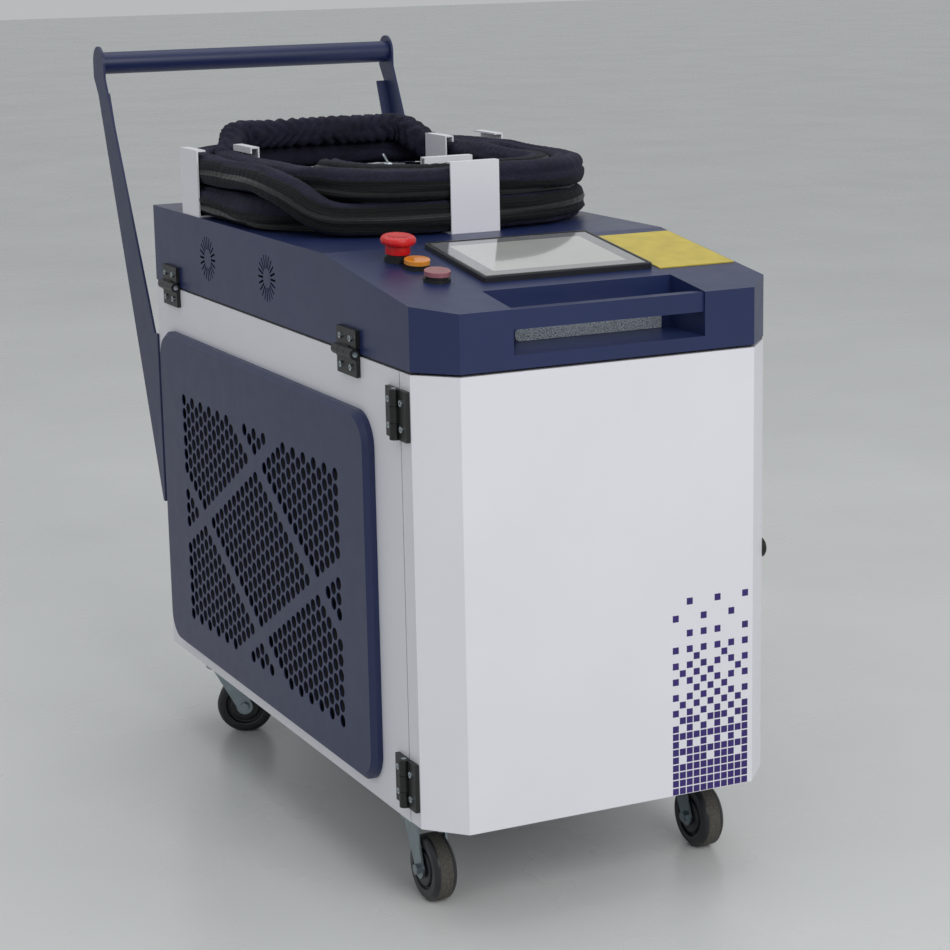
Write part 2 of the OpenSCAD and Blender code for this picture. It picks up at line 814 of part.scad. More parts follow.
module lid_fan_rotor_front() {
    color("dimgray") placed() at_lid_fan(lid_fan_y[0]) lid_rotor();
}

module lid_fan_rotor_rear() {
    color("dimgray") placed() at_lid_fan(lid_fan_y[1]) lid_rotor();
}

// Hose holders: folded channels, open to the side that the hose passes through
holder_inset = 1;       // outer plate of the two side holders from the lid's edge
holder_side_x = side_x - holder_inset;
holder_side_y = 716;
holder_front_x = 10;
holder_front_y = 346;   // outer plate of the front holder
holder_hook = 8;        // down-turned edge of the inner lip

module hose_holder() {
    block([-holder_w / 2, 0, 0], [holder_w / 2, holder_l, holder_t]);
    block([-holder_w / 2, 0, 0], [holder_w / 2, holder_t, holder_h]);
    block([-holder_w / 2, holder_l - holder_t, 0], [holder_w / 2, holder_l, holder_h]);
    block([-holder_w / 2, 0, holder_h - holder_t], [holder_w / 2, holder_lip, holder_h]);
    block([-holder_w / 2, holder_l - holder_lip, holder_h - holder_t], [holder_w / 2, holder_l, holder_h]);
    block([-holder_w / 2, holder_l - holder_lip, holder_h - holder_hook],
          [holder_w / 2, holder_l - holder_lip + holder_t, holder_h]);
}

module hose_holders() {
    color("white") placed() {
        translate([holder_front_x, holder_front_y, lid_top]) hose_holder();
        translate([-holder_side_x, holder_side_y, lid_top]) rotate(-90) hose_holder();
        translate([holder_side_x, holder_side_y, lid_top]) rotate(90) hose_holder();
    }
}

// Hose outlet: a low housing on the deck whose collar faces -X
outlet_y = 538;
outlet_w = 44;
outlet_h = 41;
outlet_foot = 6;
outlet_foot_t = 2;

module hose_outlet() {
    color("dimgray") placed() {
        difference() {
            block([outlet_x0, outlet_y - outlet_w / 2, lid_top],
                  [outlet_x1, outlet_y + outlet_w / 2, lid_top + outlet_h]);
            translate([outlet_hole_x, outlet_y, lid_top - over])
                cylinder(h = outlet_h / 2 + over, r = outlet_r);
        }
        block([outlet_x0, outlet_y - outlet_w / 2 - outlet_foot, lid_top],
              [outlet_x1 + outlet_foot, outlet_y + outlet_w / 2 + outlet_foot, lid_top + outlet_foot_t]);
    }
}

// Hose: two layers of two loops round the deck, both ends in the well between them
loop_x = 193;           // centre line of the outer loop at the sides
loop_front = 367;
loop_rear = 834;
loop_r_front = 132;
loop_r_rear = 110;
loop_pitch = 38;        // from loop to loop, beside and above each other
layer_z = lid_top + holder_t + seat + hose_d / 2;
head_z = lid_top + seat + head_t / 2;
head_rise = head_z - layer_z;
rise_back = 30;         // the gathered sleeve stands higher at the back
rise_out = 14;
tube_sides = 6;
lead_in = [[-20, 538, 0], [-45, 538, 0], [-72, 538, 0], [-100, 545, 0], [-126, 561, 0], [-145, 587, 0],
           [-154, 615, 0], [-155, 640, 0]];
lead_out = [[-25, 405, 38], [-55, 412, 39], [-79, 428, 39], [-97, 453, 40], [-105, 480, 41], [-104, 508, 41],
            [-97, 535, 40], [-85, 558, 36], [-66, 580, 23], [-36, 609, head_rise], [-10, 635, head_rise]];

function clamped(v) = min(1, max(0, v));
function eased(v) = let (c = clamped(v)) c * c * (3 - 2 * c);

// Point k of a loop, inset from the outer one; 24 points a loop, clockwise seen from above
function ring_point(k, inset) =
    let (q = (k % 24 + 24) % 24, xf = loop_x - loop_r_front, xr = loop_x - loop_r_rear,
         yf = loop_front + loop_r_front, yr = loop_rear - loop_r_rear,
         rf = loop_r_front - inset, rr = loop_r_rear - inset)
    q <= 4 ? [-xf - rf * sin(q * 22.5), yf - rf * cos(q * 22.5)] :
    q < 6 ? let (t = (q - 4) / 2) [(1 - t) * (-xf - rf) + t * (-xr - rr), (1 - t) * yf + t * yr] :
    q <= 10 ? let (a = (q - 6) * 22.5) [-xr - rr * cos(a), yr + rr * sin(a)] :
    q < 12 ? let (t = (q - 10) / 2) [-xr + t * 2 * xr, yr + rr] :
    q <= 16 ? let (a = (q - 12) * 22.5) [xr + rr * sin(a), yr + rr * cos(a)] :
    q < 18 ? let (t = (q - 16) / 2) [(1 - t) * (xr + rr) + t * (xf + rf), (1 - t) * yr + t * yf] :
    q <= 22 ? let (a = (q - 18) * 22.5) [xf + rf * cos(a), yf - rf * sin(a)] :
    let (t = (q - 22) / 2) [xf - t * 2 * xf, yf - rf];

// Where the hose changes loops, counted in ring points from its first loop
loop_start = 6;
loop_end = 95;
step_out = [26.9, 1.55];    // start and run of the step to the outer loop
climb = [49.65, 2.05];      // of the climb to the upper layer
step_in = [72.5, 2];        // of the step back to the inner loop
rise_up = [79, 2];          // of the rise over the rear hump
rise_down = [85, 2];        // of the fall behind it

function step(k, at) = eased((k - at[0]) / at[1]);
function loop_inset(k) = loop_pitch * (k < climb[0] ? 1 - step(k, step_out) : step(k, step_in));
function loop_layer(k) = loop_pitch * step(k, climb);
function hump(k) = step(k, rise_up) * (1 - step(k, rise_down));
function loop_point(k) = let (p = ring_point(k, loop_inset(k) - rise_out * max(0, hump(k) * 2 - 1)))
    [p[0], p[1], layer_z + loop_layer(k) + rise_back * hump(k)];

hose_path = concat(
    [for (p = lead_in) [p[0], p[1], p[2] + layer_z]],
    [for (k = [loop_start:loop_end]) loop_point(k)],
    [for (p = lead_out) [p[0], p[1], p[2] + layer_z]]);

// Tube swept along points; each ring stands square to the path there
function unit(v) = v / norm(v);
function heading(path, i) =
    i == 0 ? unit(path[1] - path[0]) :
    i == len(path) - 1 ? unit(path[i] - path[i - 1]) :
    unit(unit(path[i + 1] - path[i]) + unit(path[i] - path[i - 1]));

module tube(path, d, sides) {
    rings = [for (i = [0:len(path) - 1])
        let (h = heading(path, i), s = unit(cross(h, [0, 0, 1])), u = cross(s, h))
        for (j = [0:sides - 1]) path[i] + (cos(j * 360 / sides) * s + sin(j * 360 / sides) * u) * d / 2];
    last = (len(path) - 1) * sides;
    polyhedron(rings, concat(
        [for (j = [1:sides - 2]) [0, j, j + 1]],
        [for (j = [1:sides - 2]) [last, last + j + 1, last + j]],
        [for (i = [0:len(path) - 2], j = [0:sides - 1])
            let (a = i * sides + j, b = i * sides + (j + 1) % sides)
            each [[a, a + sides, b], [b, a + sides, b + sides]]]));
}

// Least gap of the hose to itself, measured on points along it
near_points = 14;       // points this near along the hose are one bend
function along(path) = [for (i = [0:len(path) - 2], t = [0:0.25:0.75]) path[i] * (1 - t) + path[i + 1] * t];
function least_gap(p, d) =
    min([for (i = [0:len(p) - 1]) for (j = [i + near_points:1:len(p) - 1]) norm(p[i] - p[j])]) - d;
echo(least_gap_of_the_hose = least_gap(along(hose_path), hose_d));

module hose_coil() {
    color("darkslateblue") placed() tube(hose_path, hose_d, tube_sides);
}

// Cleaning head, lying on its side at the hose's far end; +X is its nozzle, +Y its grip
head_x = -10;
head_y = 635;
head_turn = 45;
collar_l = 9;           // rear collar round the hose's end
head_collar_d = 42;
head_body_l = 104;
head_corner = 9;
nozzle_d = 28;
nozzle_l = 30;
tip_d = 12;
cone_l = 12;
grip_w = 34;
grip_t = 34;
grip_x = 4;             // rear edge of the grip from the head's rear face
grip_lean = 10;
trigger_x = 62;         // pivot of the trigger
trigger_y = 7;          // pivot under the body's edge
trigger_t = 12;
trigger_l = 44;
trigger_w = 9;
trigger_pin_d = 4;
cheek_t = 3;
cheek_r = 7;

module at_head() translate([head_x, head_y, head_z]) rotate(head_turn) children();

module cleaning_head() {
    pivot = [trigger_x, head_h / 2 + trigger_y];
    color("gray") placed() at_head() {
        rotate([0, 90, 0]) cylinder(h = collar_l, d = head_collar_d);
        translate([0, 0, -head_t / 2]) linear_extrude(head_t) polygon([
            [collar_l, -head_h / 2 + head_corner], [collar_l + head_corner, -head_h / 2],
            [collar_l + head_body_l - head_corner * 2, -head_h / 2], [collar_l + head_body_l, -nozzle_d / 2],
            [collar_l + head_body_l, nozzle_d / 2], [collar_l + head_body_l - head_corner * 2, head_h / 2],
            [collar_l, head_h / 2]]);
        translate([collar_l + head_body_l, 0, 0]) rotate([0, 90, 0]) {
            cylinder(h = nozzle_l, d = nozzle_d);
            translate([0, 0, nozzle_l]) cylinder(h = cone_l, d1 = nozzle_d, d2 = tip_d);
            cylinder(h = head_l - collar_l - head_body_l, d = tip_d);
        }
        translate([0, 0, -grip_t / 2]) linear_extrude(grip_t) polygon([
            [grip_x, head_h / 2 - over], [grip_x + grip_w, head_h / 2 - over],
            [grip_x + grip_w - grip_lean, head_h / 2 + grip_l], [grip_x, head_h / 2 + grip_l]]);
        for (z = [-trigger_t / 2 - seat - cheek_t, trigger_t / 2 + seat]) translate([0, 0, z]) {
            translate(pivot) cylinder(h = cheek_t, r = cheek_r);
            block([trigger_x - cheek_r, head_h / 2 - over, 0], [trigger_x + cheek_r, pivot[1], cheek_t]);
        }
        translate([pivot[0], pivot[1], -trigger_t / 2 - cheek_t])
            cylinder(h = trigger_t + cheek_t * 2, d = trigger_pin_d);
    }
}

module head_trigger() {
    color("firebrick") placed() at_head() translate([trigger_x, head_h / 2 + trigger_y, -trigger_t / 2])
        difference() {
            union() {
                cylinder(h = trigger_t, d = trigger_w + over);
                linear_extrude(trigger_t) polygon([
                    [-trigger_w / 2, 0], [trigger_w / 2, 0], [trigger_w, trigger_l / 2],
                    [trigger_w + over, trigger_l], [trigger_w / 2, trigger_l], [0, trigger_l / 2]]);
            }
            translate([0, 0, -over]) cylinder(h = trigger_t + over * 2, d = trigger_pin_d + slip * 2);
        }
}

// Push handle: folded arms screwed to the back panel and a round bar between them
arm_low = -304;         // ends of the arm's upright foot, from the lid's lower edge
arm_knee = -74;
arm_foot_l = 6;         // the foot's depth behind the back panel
arm_foot_w = 26;
arm_head_drop = 20;
arm_rear_drop = 43;     // rear corner under the bar's centre
bar_wall = 2;

module arm_outline() {
    top = lid_z + bar_z;
    polygon([[body_l, lid_z + arm_low], [body_l, lid_z + arm_knee],
             [body_l + arm_foot_l * 2, lid_z + arm_knee],
             [bar_y - arm_head_r, top - arm_head_drop], [bar_y - arm_head_r, top],
             [bar_y + arm_head_r, top], [bar_y + arm_head_r, top - arm_head_drop],
             [bar_y + arm_foot_l, top - arm_rear_drop], [body_l + arm_foot_l, lid_z + arm_low]]);
    translate([bar_y, top]) circle(r = arm_head_r);
}

module handle_arm() {
    rear = [bar_y + arm_foot_l, lid_z + bar_z - arm_rear_drop];
    run = rear - [body_l + arm_foot_l, lid_z + arm_low];
    translate([side_x, 0, 0]) rotate([90, 0, 90]) linear_extrude(arm_t) arm_outline();
    block([side_x - arm_foot_w, body_l, lid_z + arm_low],
          [side_x + arm_t, body_l + arm_t, lid_z + arm_knee]);
    // rear flange, square to the arm along its rear edge
    translate([0, body_l + arm_foot_l, lid_z + arm_low]) rotate([atan2(run[1], run[0]) - 90, 0, 0])
        block([side_x - arm_flange, -arm_t, arm_foot_w], [side_x + arm_t, 0, norm(run)]);
}

module left_handle_arm() {
    color("darkslateblue") placed() mirror([1, 0, 0]) handle_arm();
}

module right_handle_arm() {
    color("darkslateblue") placed() handle_arm();
}

module push_bar() {
    color("darkslateblue") placed() translate([-side_x, bar_y, lid_z + bar_z]) rotate([0, 90, 0])
        difference() {
            cylinder(h = body_w, d = bar_d);
            translate([0, 0, -over]) cylinder(h = body_w + over * 2, d = bar_d - bar_wall * 2);
        }
}

// Casters, drawn with the swivel's axis at the origin and the wheel trailing toward -Y
plate_t = 3;
plate_w = 66;
plate_l = 88;
plate_bolt_x = 23;
plate_bolt_y = 34;
plate_bolt_d = 8;
plate_nut_d = 12;
plate_nut_h = 5;
race_d = 46;
race_h = 8;
king_d = 12;
rivet_d = 20;
rivet_h = 3;
crown_d = 52;
crown_t = 8;
leg_t = 2.5;
leg_gap = 2;
leg_r = 11;
axle_d = 8;
axle_head_d = 13;
axle_head_h = 5;
hub_d = 40;
hub_boss_d = 18;
tyre_in_d = 50;
tyre_shoulder = 4;
rear_swing = [64, 20];  // degrees that the rear casters stand turned
crown_z = caster_h - plate_t - race_h - seat;
caster_at = [[-caster_x, caster_front], [caster_x, caster_front],
             [-caster_x, caster_rear], [caster_x, caster_rear]];
caster_turn = concat([0, 0], rear_swing);
leg_x = wheel_w / 2 + leg_gap;

module caster_plate() {
    difference() {
        block([-plate_w / 2, -plate_l / 2, caster_h - plate_t], [plate_w / 2, plate_l / 2, caster_h]);
        for (x = [-plate_bolt_x, plate_bolt_x], y = [-plate_bolt_y, plate_bolt_y])
            translate([x, y, caster_h - plate_t - over]) cylinder(h = plate_t + over * 2, d = plate_bolt_d);
    }
    translate([0, 0, caster_h - plate_t - race_h]) cylinder(h = race_h, d = race_d);
    translate([0, 0, crown_z - crown_t - over / 2]) cylinder(h = crown_t + race_h, d = king_d);
    translate([0, 0, crown_z - crown_t - seat - rivet_h]) cylinder(h = rivet_h, d = rivet_d);
}

module caster_plates() {
    color("silver") placed() for (p = caster_at) translate([p[0], p[1], 0]) {
        caster_plate();
        for (x = [-plate_bolt_x, plate_bolt_x], y = [-plate_bolt_y, plate_bolt_y])
            translate([x, y, caster_h - plate_t - plate_nut_h])
                cylinder(h = plate_nut_h, d = plate_nut_d, $fn = 6);
    }
}

module caster_fork() {
    axle_z = wheel_d / 2;
    difference() {
        union() {
            translate([0, 0, crown_z - crown_t]) cylinder(h = crown_t, d = crown_d);
            for (side = [-1, 1]) translate([side * leg_x - (side < 0 ? leg_t : 0), 0, 0])
                rotate([90, 0, 90]) linear_extrude(leg_t) {
                    polygon([[-crown_d / 3, crown_z - crown_t / 2], [crown_d / 3, crown_z - crown_t / 2],
                             [-trail + leg_r, axle_z], [-trail - leg_r, axle_z]]);
                    translate([-trail, axle_z]) circle(r = leg_r);
                }
        }
        translate([0, 0, crown_z - crown_t - over]) cylinder(h = crown_t + over * 2, d = king_d + slip * 2);
    }
    translate([-leg_x, -trail, axle_z]) rotate([0, 90, 0]) cylinder(h = leg_x * 2, d = axle_d);
    translate([leg_x + leg_t, -trail, axle_z]) rotate([0, 90, 0]) cylinder(h = axle_head_h, d = axle_head_d);
    translate([-leg_x - leg_t, -trail, axle_z]) rotate([0, -90, 0])
        cylinder(h = axle_head_h, d = axle_head_d, $fn = 6);
}

module caster_wheel() {
    translate([0, -trail, wheel_d / 2]) rotate([0, 90, 0]) {
        rotate_extrude() polygon([
            [tyre_in_d / 2, -wheel_w / 2], [wheel_d / 2 - tyre_shoulder, -wheel_w / 2],
            [wheel_d / 2, -wheel_w / 2 + tyre_shoulder], [wheel_d / 2, wheel_w / 2 - tyre_shoulder],
            [wheel_d / 2 - tyre_shoulder, wheel_w / 2], [tyre_in_d / 2, wheel_w / 2]]);
        difference() {
            union() {
                translate([0, 0, -wheel_w / 3]) cylinder(h = wheel_w * 2 / 3, d = tyre_in_d);
                translate([0, 0, -wheel_w / 2]) cylinder(h = wheel_w, d = hub_d);
                translate([0, 0, -leg_x + seat]) cylinder(h = (leg_x - seat) * 2, d = hub_boss_d);
            }
            translate([0, 0, -leg_x - over]) cylinder(h = (leg_x + over) * 2, d = axle_d + slip * 2);
        }
    }
}

module at_caster(i) translate([caster_at[i][0], caster_at[i][1], 0]) rotate(caster_turn[i]) children();
module fork(i) color("silver") placed() at_caster(i) caster_fork();
module wheel(i) color("dimgray") placed() at_caster(i) caster_wheel();

// Equipment inside; places from the middle, the front face and what each piece stands on
deck_z = shelf_z + sheet_t;
wall_clear = 15.5;      // from the side walls to the equipment
rack_x = inner_x - wall_clear;
rear_y = body_l - sheet_t;
cooler_x = -rack_x;     // outer face of the condenser's core
cooler_t = 32;
cooler_gap = 135.5;     // from the back panel to the condenser
cooler_y = rear_y - cooler_gap - cooler_w;
fin_w = 3;
fin_pitch = 9;
fin_depth = 5;
shroud_t = 30;
blower_hub_d = 60;
blower_blades = 5;
blower_blade_t = 2;
blower_h = 20;
motor_d = 76;
motor_l = 44;
motor_foot_w = 40;
shaft_d = 8;
blower_y = cooler_y + cooler_w / 2;
blower_z = floor_z + cooler_w / 2;

module condenser() {
    fins = floor((cooler_w - fin_pitch) / fin_pitch);
    shroud_x = cooler_x + cooler_t;
    color("silver") placed() {
        difference() {
            block([cooler_x, cooler_y, floor_z], [shroud_x, cooler_y + cooler_w, floor_z + cooler_w]);
            for (i = [1:fins]) translate([0, cooler_y + i * fin_pitch, 0])
                block([cooler_x - over, 0, floor_z + fin_pitch],
                      [cooler_x + fin_depth, fin_w, floor_z + cooler_w - fin_pitch]);
        }
        difference() {
            block([shroud_x, cooler_y, floor_z],
                  [shroud_x + shroud_t, cooler_y + cooler_w, floor_z + cooler_w]);
            translate([shroud_x - over, blower_y, blower_z]) rotate([0, 90, 0])
                cylinder(h = shroud_t + over * 2, d = blower_d + shroud_wall * 2);
        }
        translate([shroud_x + shroud_t, blower_y, blower_z]) rotate([0, 90, 0])
            cylinder(h = motor_l, d = motor_d);
        translate([shroud_x, blower_y, blower_z]) rotate([0, 90, 0]) cylinder(h = shroud_t, d = shaft_d);
        block([shroud_x + shroud_t, blower_y - motor_foot_w / 2, floor_z],
              [shroud_x + shroud_t + motor_l / 2, blower_y + motor_foot_w / 2, blower_z]);
    }
}

module condenser_fan_rotor() {
    color("black") placed() translate([cooler_x + cooler_t, blower_y, blower_z]) rotate([0, 90, 0])
        rotor(blower_hub_d, blower_d, shroud_wall, shroud_wall + blower_h, shaft_d,
              blower_blades, blower_blade_t);
}

tank_size = [176, 230, 190];
tank_gap = 43.5;        // from the back panel to the tank
tank_low = [rack_x - tank_size[0], rear_y - tank_gap - tank_size[1]];
pump_d = 74;
pump_l = 96;
pump_gap = 64;          // from the tank to the pump
pump_inset = 90;        // from the equipment's side line to the pump's middle
pump_at = [rack_x - pump_inset, tank_low[1] - pump_gap - pump_l];
compressor_d = 130;
compressor_h = 176;
compressor_dome = 22;
compressor_foot = 78;
compressor_gap = 42;    // from the pump to the compressor's foot
compressor_at = [
    rack_x - compressor_foot - compressor_gap / 2,
    pump_at[1] - compressor_gap - compressor_foot
];
compressor_foot_t = 4;
port_d = 10;
port_l = 26;

module compressor() {
    color("black") placed() translate([compressor_at[0], compressor_at[1], floor_z]) {
        block([-compressor_foot, -compressor_foot, 0],
              [compressor_foot, compressor_foot, compressor_foot_t]);
        cylinder(h = compressor_h - compressor_dome, d = compressor_d);
        translate([0, 0, compressor_h - compressor_dome])
            cylinder(h = compressor_dome, d1 = compressor_d, d2 = compressor_d - compressor_dome * 2);
        for (a = [30, 150]) rotate(a) translate([compressor_d / 4, 0, compressor_h - over])
            cylinder(h = port_l, d = port_d);
    }
}

tank_neck_d = 56;
tank_neck_h = 14;
tank_cap_d = 66;
tank_cap_h = 16;

module water_tank() {
    color("azure") placed() translate([tank_low[0], tank_low[1], floor_z]) {
        cube(tank_size);
        translate([tank_size[0] / 2, tank_size[1] / 2, tank_size[2]]) {
            cylinder(h = tank_neck_h, d = tank_neck_d);
            translate([0, 0, tank_neck_h]) cylinder(h = tank_cap_h, d = tank_cap_d);
        }
    }
}

pump_foot_w = 60;
pump_foot_t = 6;
pump_port_d = 22;

module water_pump() {
    color("steelblue") placed() translate([pump_at[0], pump_at[1], floor_z]) {
        block([-pump_foot_w / 2, 0, 0], [pump_foot_w / 2, pump_l, pump_d / 2]);
        translate([0, 0, pump_d / 2 + pump_foot_t]) rotate([-90, 0, 0]) cylinder(h = pump_l, d = pump_d);
        translate([0, pump_port_d, pump_d / 2 + pump_foot_t])
            cylinder(h = pump_d / 2 + port_l, d = pump_port_d);
    }
}

supply_size = [112, 216, 50];
supply_gap = 60;        // from the front frame to the power supply
supply_low = [-rack_x, side_y + supply_gap];
source_gap_x = 26;      // from the power supply to the laser source
source_gap_y = 170;     // from the front frame to the laser source
source_low = [supply_low[0] + supply_size[0] + source_gap_x, side_y + source_gap_y];
source_size = [rack_x - source_low[0], 460, 112];
source_rib_w = 6;
source_rib_h = 8;
source_ribs = 9;
source_port_d = 24;
source_port_l = 30;

module laser_source() {
    pitch = source_size[1] / source_ribs;
    color("black") placed() translate([source_low[0], source_low[1], deck_z]) {
        cube(source_size);
        for (i = [0:source_ribs - 1]) translate([0, i * pitch + (pitch - source_rib_w) / 2, source_size[2]])
            cube([source_size[0], source_rib_w, source_rib_h]);
        translate([source_size[0] / 2, 0, source_size[2] / 2]) rotate([90, 0, 0])
            cylinder(h = source_port_l, d = source_port_d);
    }
}

supply_slot_w = 2.6;
supply_slot_pitch = 12;
supply_slots = 14;
supply_slot_depth = 2;

module power_supply() {
    color("silver") placed() translate([supply_low[0], supply_low[1], deck_z]) difference() {
        cube(supply_size);
        for (i = [1:supply_slots])
            translate([supply_slot_pitch, i * supply_slot_pitch, supply_size[2] - supply_slot_depth])
                cube([supply_size[0] - supply_slot_pitch * 2, supply_slot_w, supply_slot_depth + over]);
    }
}

board_gap = 74;         // from the power supply to the control board
board_size = [112, 210, 1.6];
board_low = [-rack_x, supply_low[1] + supply_size[1] + board_gap];
standoff_d = 7;
standoff_h = 10;
chip = [24, 30, 6];

module control_board() {
    color("seagreen") placed() translate([board_low[0], board_low[1], deck_z]) {
        for (x = [standoff_d, board_size[0] - standoff_d], y = [standoff_d, board_size[1] - standoff_d])
            translate([x, y, 0]) cylinder(h = standoff_h, d = standoff_d);
        translate([0, 0, standoff_h]) cube(board_size);
        for (i = [0:2]) translate([chip[0], chip[1] + i * chip[1] * 2, standoff_h + board_size[2]])
            cube(chip);
        translate([board_size[0] - chip[0], chip[0], standoff_h + board_size[2]])
            cube([chip[2] * 2, board_size[1] - chip[0] * 2, chip[2] * 2]);
    }
}

gland_bore_d = 11;
gland_nut_d = 32;
gland_nut_t = 6;
gland_dome_d = 24;
gland_dome_l = 16;
gland_tail = 14;

module power_inlet_gland() {
    color("black") placed() translate([gland_x, body_l, gland_z]) rotate([-90, 0, 0]) difference() {
        union() {
            cylinder(h = gland_nut_t, d = gland_nut_d, $fn = 6);
            translate([0, 0, gland_nut_t])
                cylinder(h = gland_dome_l, d1 = gland_nut_d - gland_nut_t, d2 = gland_dome_d - gland_nut_t);
            translate([0, 0, -sheet_t - gland_tail]) cylinder(h = sheet_t + gland_tail, r = gland_r);
            translate([0, 0, -sheet_t - gland_nut_t]) cylinder(h = gland_nut_t, d = gland_nut_d, $fn = 6);
        }
        translate([0, 0, -sheet_t - gland_tail - over])
            cylinder(h = sheet_t + gland_tail + gland_nut_t + gland_dome_l + over * 2, d = gland_bore_d);
    }
}

lever_w = 16;
lever_t = 7;
lever_l = 17;
lever_hub_d = 14;
lever_gap = 1;
lever_swing = 50;       // degrees between off and on
lever_pin_d = 4;

module breaker_box() {
    color("gray") placed() translate([breaker_x, body_l, breaker_z]) {
        difference() {
            block([-breaker_w / 2, 0, -breaker_h / 2], [breaker_w / 2, breaker_t, breaker_h / 2]);
            block([-lever_w / 2 - lever_gap, breaker_t - lever_hub_d, -breaker_h / 4],
                  [lever_w / 2 + lever_gap, breaker_t + over, breaker_h / 4]);
        }
        translate([-lever_w / 2 - lever_gap - over, breaker_t - lever_hub_d / 2 + lever_gap, 0])
            rotate([0, 90, 0]) cylinder(h = lever_w + lever_gap * 2 + over * 2, d = lever_pin_d);
    }
}

module breaker_lever() {
    pivot_y = body_l + breaker_t - lever_hub_d / 2 + lever_gap;
    color("black") placed() translate([breaker_x, pivot_y, breaker_z])
        rotate([lever_swing / 2, 0, 0]) difference() {
            union() {
                translate([-lever_w / 2, 0, 0]) rotate([0, 90, 0])
                    cylinder(h = lever_w, d = lever_hub_d - lever_gap * 2);
                block([-lever_w / 2, 0, -lever_t / 2],
                      [lever_w / 2, lever_hub_d / 2 + lever_l, lever_t / 2]);
            }
            translate([-lever_w / 2 - over, 0, 0]) rotate([0, 90, 0])
                cylinder(h = lever_w + over * 2, d = lever_pin_d + slip * 2);
        }
}

base_tray();
front_frame();
left_side_panel();
right_side_panel();
back_panel();
equipment_shelf();
left_grille_panel();
right_grille_panel();
dust_filters();
fixed_hinge_leaves();
hinge_pins();
cabinet_screws();
left_handle_arm();
right_handle_arm();
push_bar();
caster_plates();
laser_source();
compressor();
condenser();
condenser_fan_rotor();
water_tank();
water_pump();
power_supply();
control_board();
power_inlet_gland();
breaker_box();
breaker_lever();
front_door();
door_hinge_leaves();
door_screws();
lock_body();
lock_barrel();
lid_cover();
lid_seal();
lid_hinge_leaves();
lid_screws();
pull_bar();
screen_bezel();
screen_glass();
notice_plate();
button_collars();
stop_head();
orange_button();
red_button();
hose_holders();
lid_fan_frames();
lid_fan_rotor_front();
lid_fan_rotor_rear();
hose_outlet();
hose_coil();
cleaning_head();
head_trigger();
fork(0);  // caster_fork_front_left
fork(1);  // caster_fork_front_right
fork(2);  // caster_fork_rear_left
fork(3);  // caster_fork_rear_right
wheel(0);  // caster_wheel_front_left
wheel(1);  // caster_wheel_front_right
wheel(2);  // caster_wheel_rear_left
wheel(3);  // caster_wheel_rear_right
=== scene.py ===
"""Looks of the laser cleaning machine: camera, light, materials and the pieces that CAD leaves plain."""
import json
import math

import bpy
from mathutils import Matrix, Vector, noise


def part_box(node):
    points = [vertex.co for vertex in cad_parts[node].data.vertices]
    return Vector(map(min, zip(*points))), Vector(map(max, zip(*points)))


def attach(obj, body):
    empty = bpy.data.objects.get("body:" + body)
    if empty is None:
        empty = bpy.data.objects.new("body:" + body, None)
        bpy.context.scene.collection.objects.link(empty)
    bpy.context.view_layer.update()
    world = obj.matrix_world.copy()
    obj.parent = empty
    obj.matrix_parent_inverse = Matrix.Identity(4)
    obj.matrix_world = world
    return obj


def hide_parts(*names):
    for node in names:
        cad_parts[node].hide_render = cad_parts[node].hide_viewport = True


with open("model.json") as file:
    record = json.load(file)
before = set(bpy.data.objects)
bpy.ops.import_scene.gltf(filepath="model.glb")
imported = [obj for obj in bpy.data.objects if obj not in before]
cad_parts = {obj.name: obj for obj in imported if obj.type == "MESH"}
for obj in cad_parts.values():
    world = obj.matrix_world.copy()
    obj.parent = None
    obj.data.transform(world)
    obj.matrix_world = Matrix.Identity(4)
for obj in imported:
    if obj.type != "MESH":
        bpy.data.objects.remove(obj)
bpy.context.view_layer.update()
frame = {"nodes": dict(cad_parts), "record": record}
nodes = frame["nodes"]
MM = 0.001

# Places shared with the solids, in metres
lid_low, lid_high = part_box("lid_cover")
FRONT = lid_low.y
LID_Z = lid_low.z
LID_TOP = lid_high.z


def place(x, y, z):
    """A point given in millimetres from the middle, the front face and the lid's lower edge."""
    return Vector((x * MM, FRONT + y * MM, LID_Z + z * MM))


# Camera, at the photograph's viewing angle
CAMERA_ANGLES = (-25.465, 12.628, -1.135)      # degrees: azimuth, elevation and roll
CAMERA_SPOT = (-1221.7, -2224.2, 445.3)
FOCAL_PIXELS, IMAGE_WIDTH, SENSOR_WIDTH = 2430.1, 950, 36
VIEW_END = 50


def make_camera():
    az, el, roll = (math.radians(angle) for angle in CAMERA_ANGLES)
    back = Vector((math.sin(az) * math.cos(el), -math.cos(az) * math.cos(el), math.sin(el)))
    right = Vector((math.cos(az), math.sin(az), 0))
    up = back.cross(right)
    across = math.cos(roll) * right + math.sin(roll) * up
    upward = -math.sin(roll) * right + math.cos(roll) * up
    data = bpy.data.cameras.new("camera")
    data.sensor_width = SENSOR_WIDTH
    data.lens = SENSOR_WIDTH * FOCAL_PIXELS / IMAGE_WIDTH
    data.clip_end = VIEW_END
    camera = bpy.data.objects.new("camera", data)
    bpy.context.scene.collection.objects.link(camera)
    rotation = Matrix((across, upward, back)).transposed().to_4x4()
    camera.matrix_world = Matrix.Translation(place(*CAMERA_SPOT)) @ rotation
    bpy.context.scene.camera = camera


make_camera()


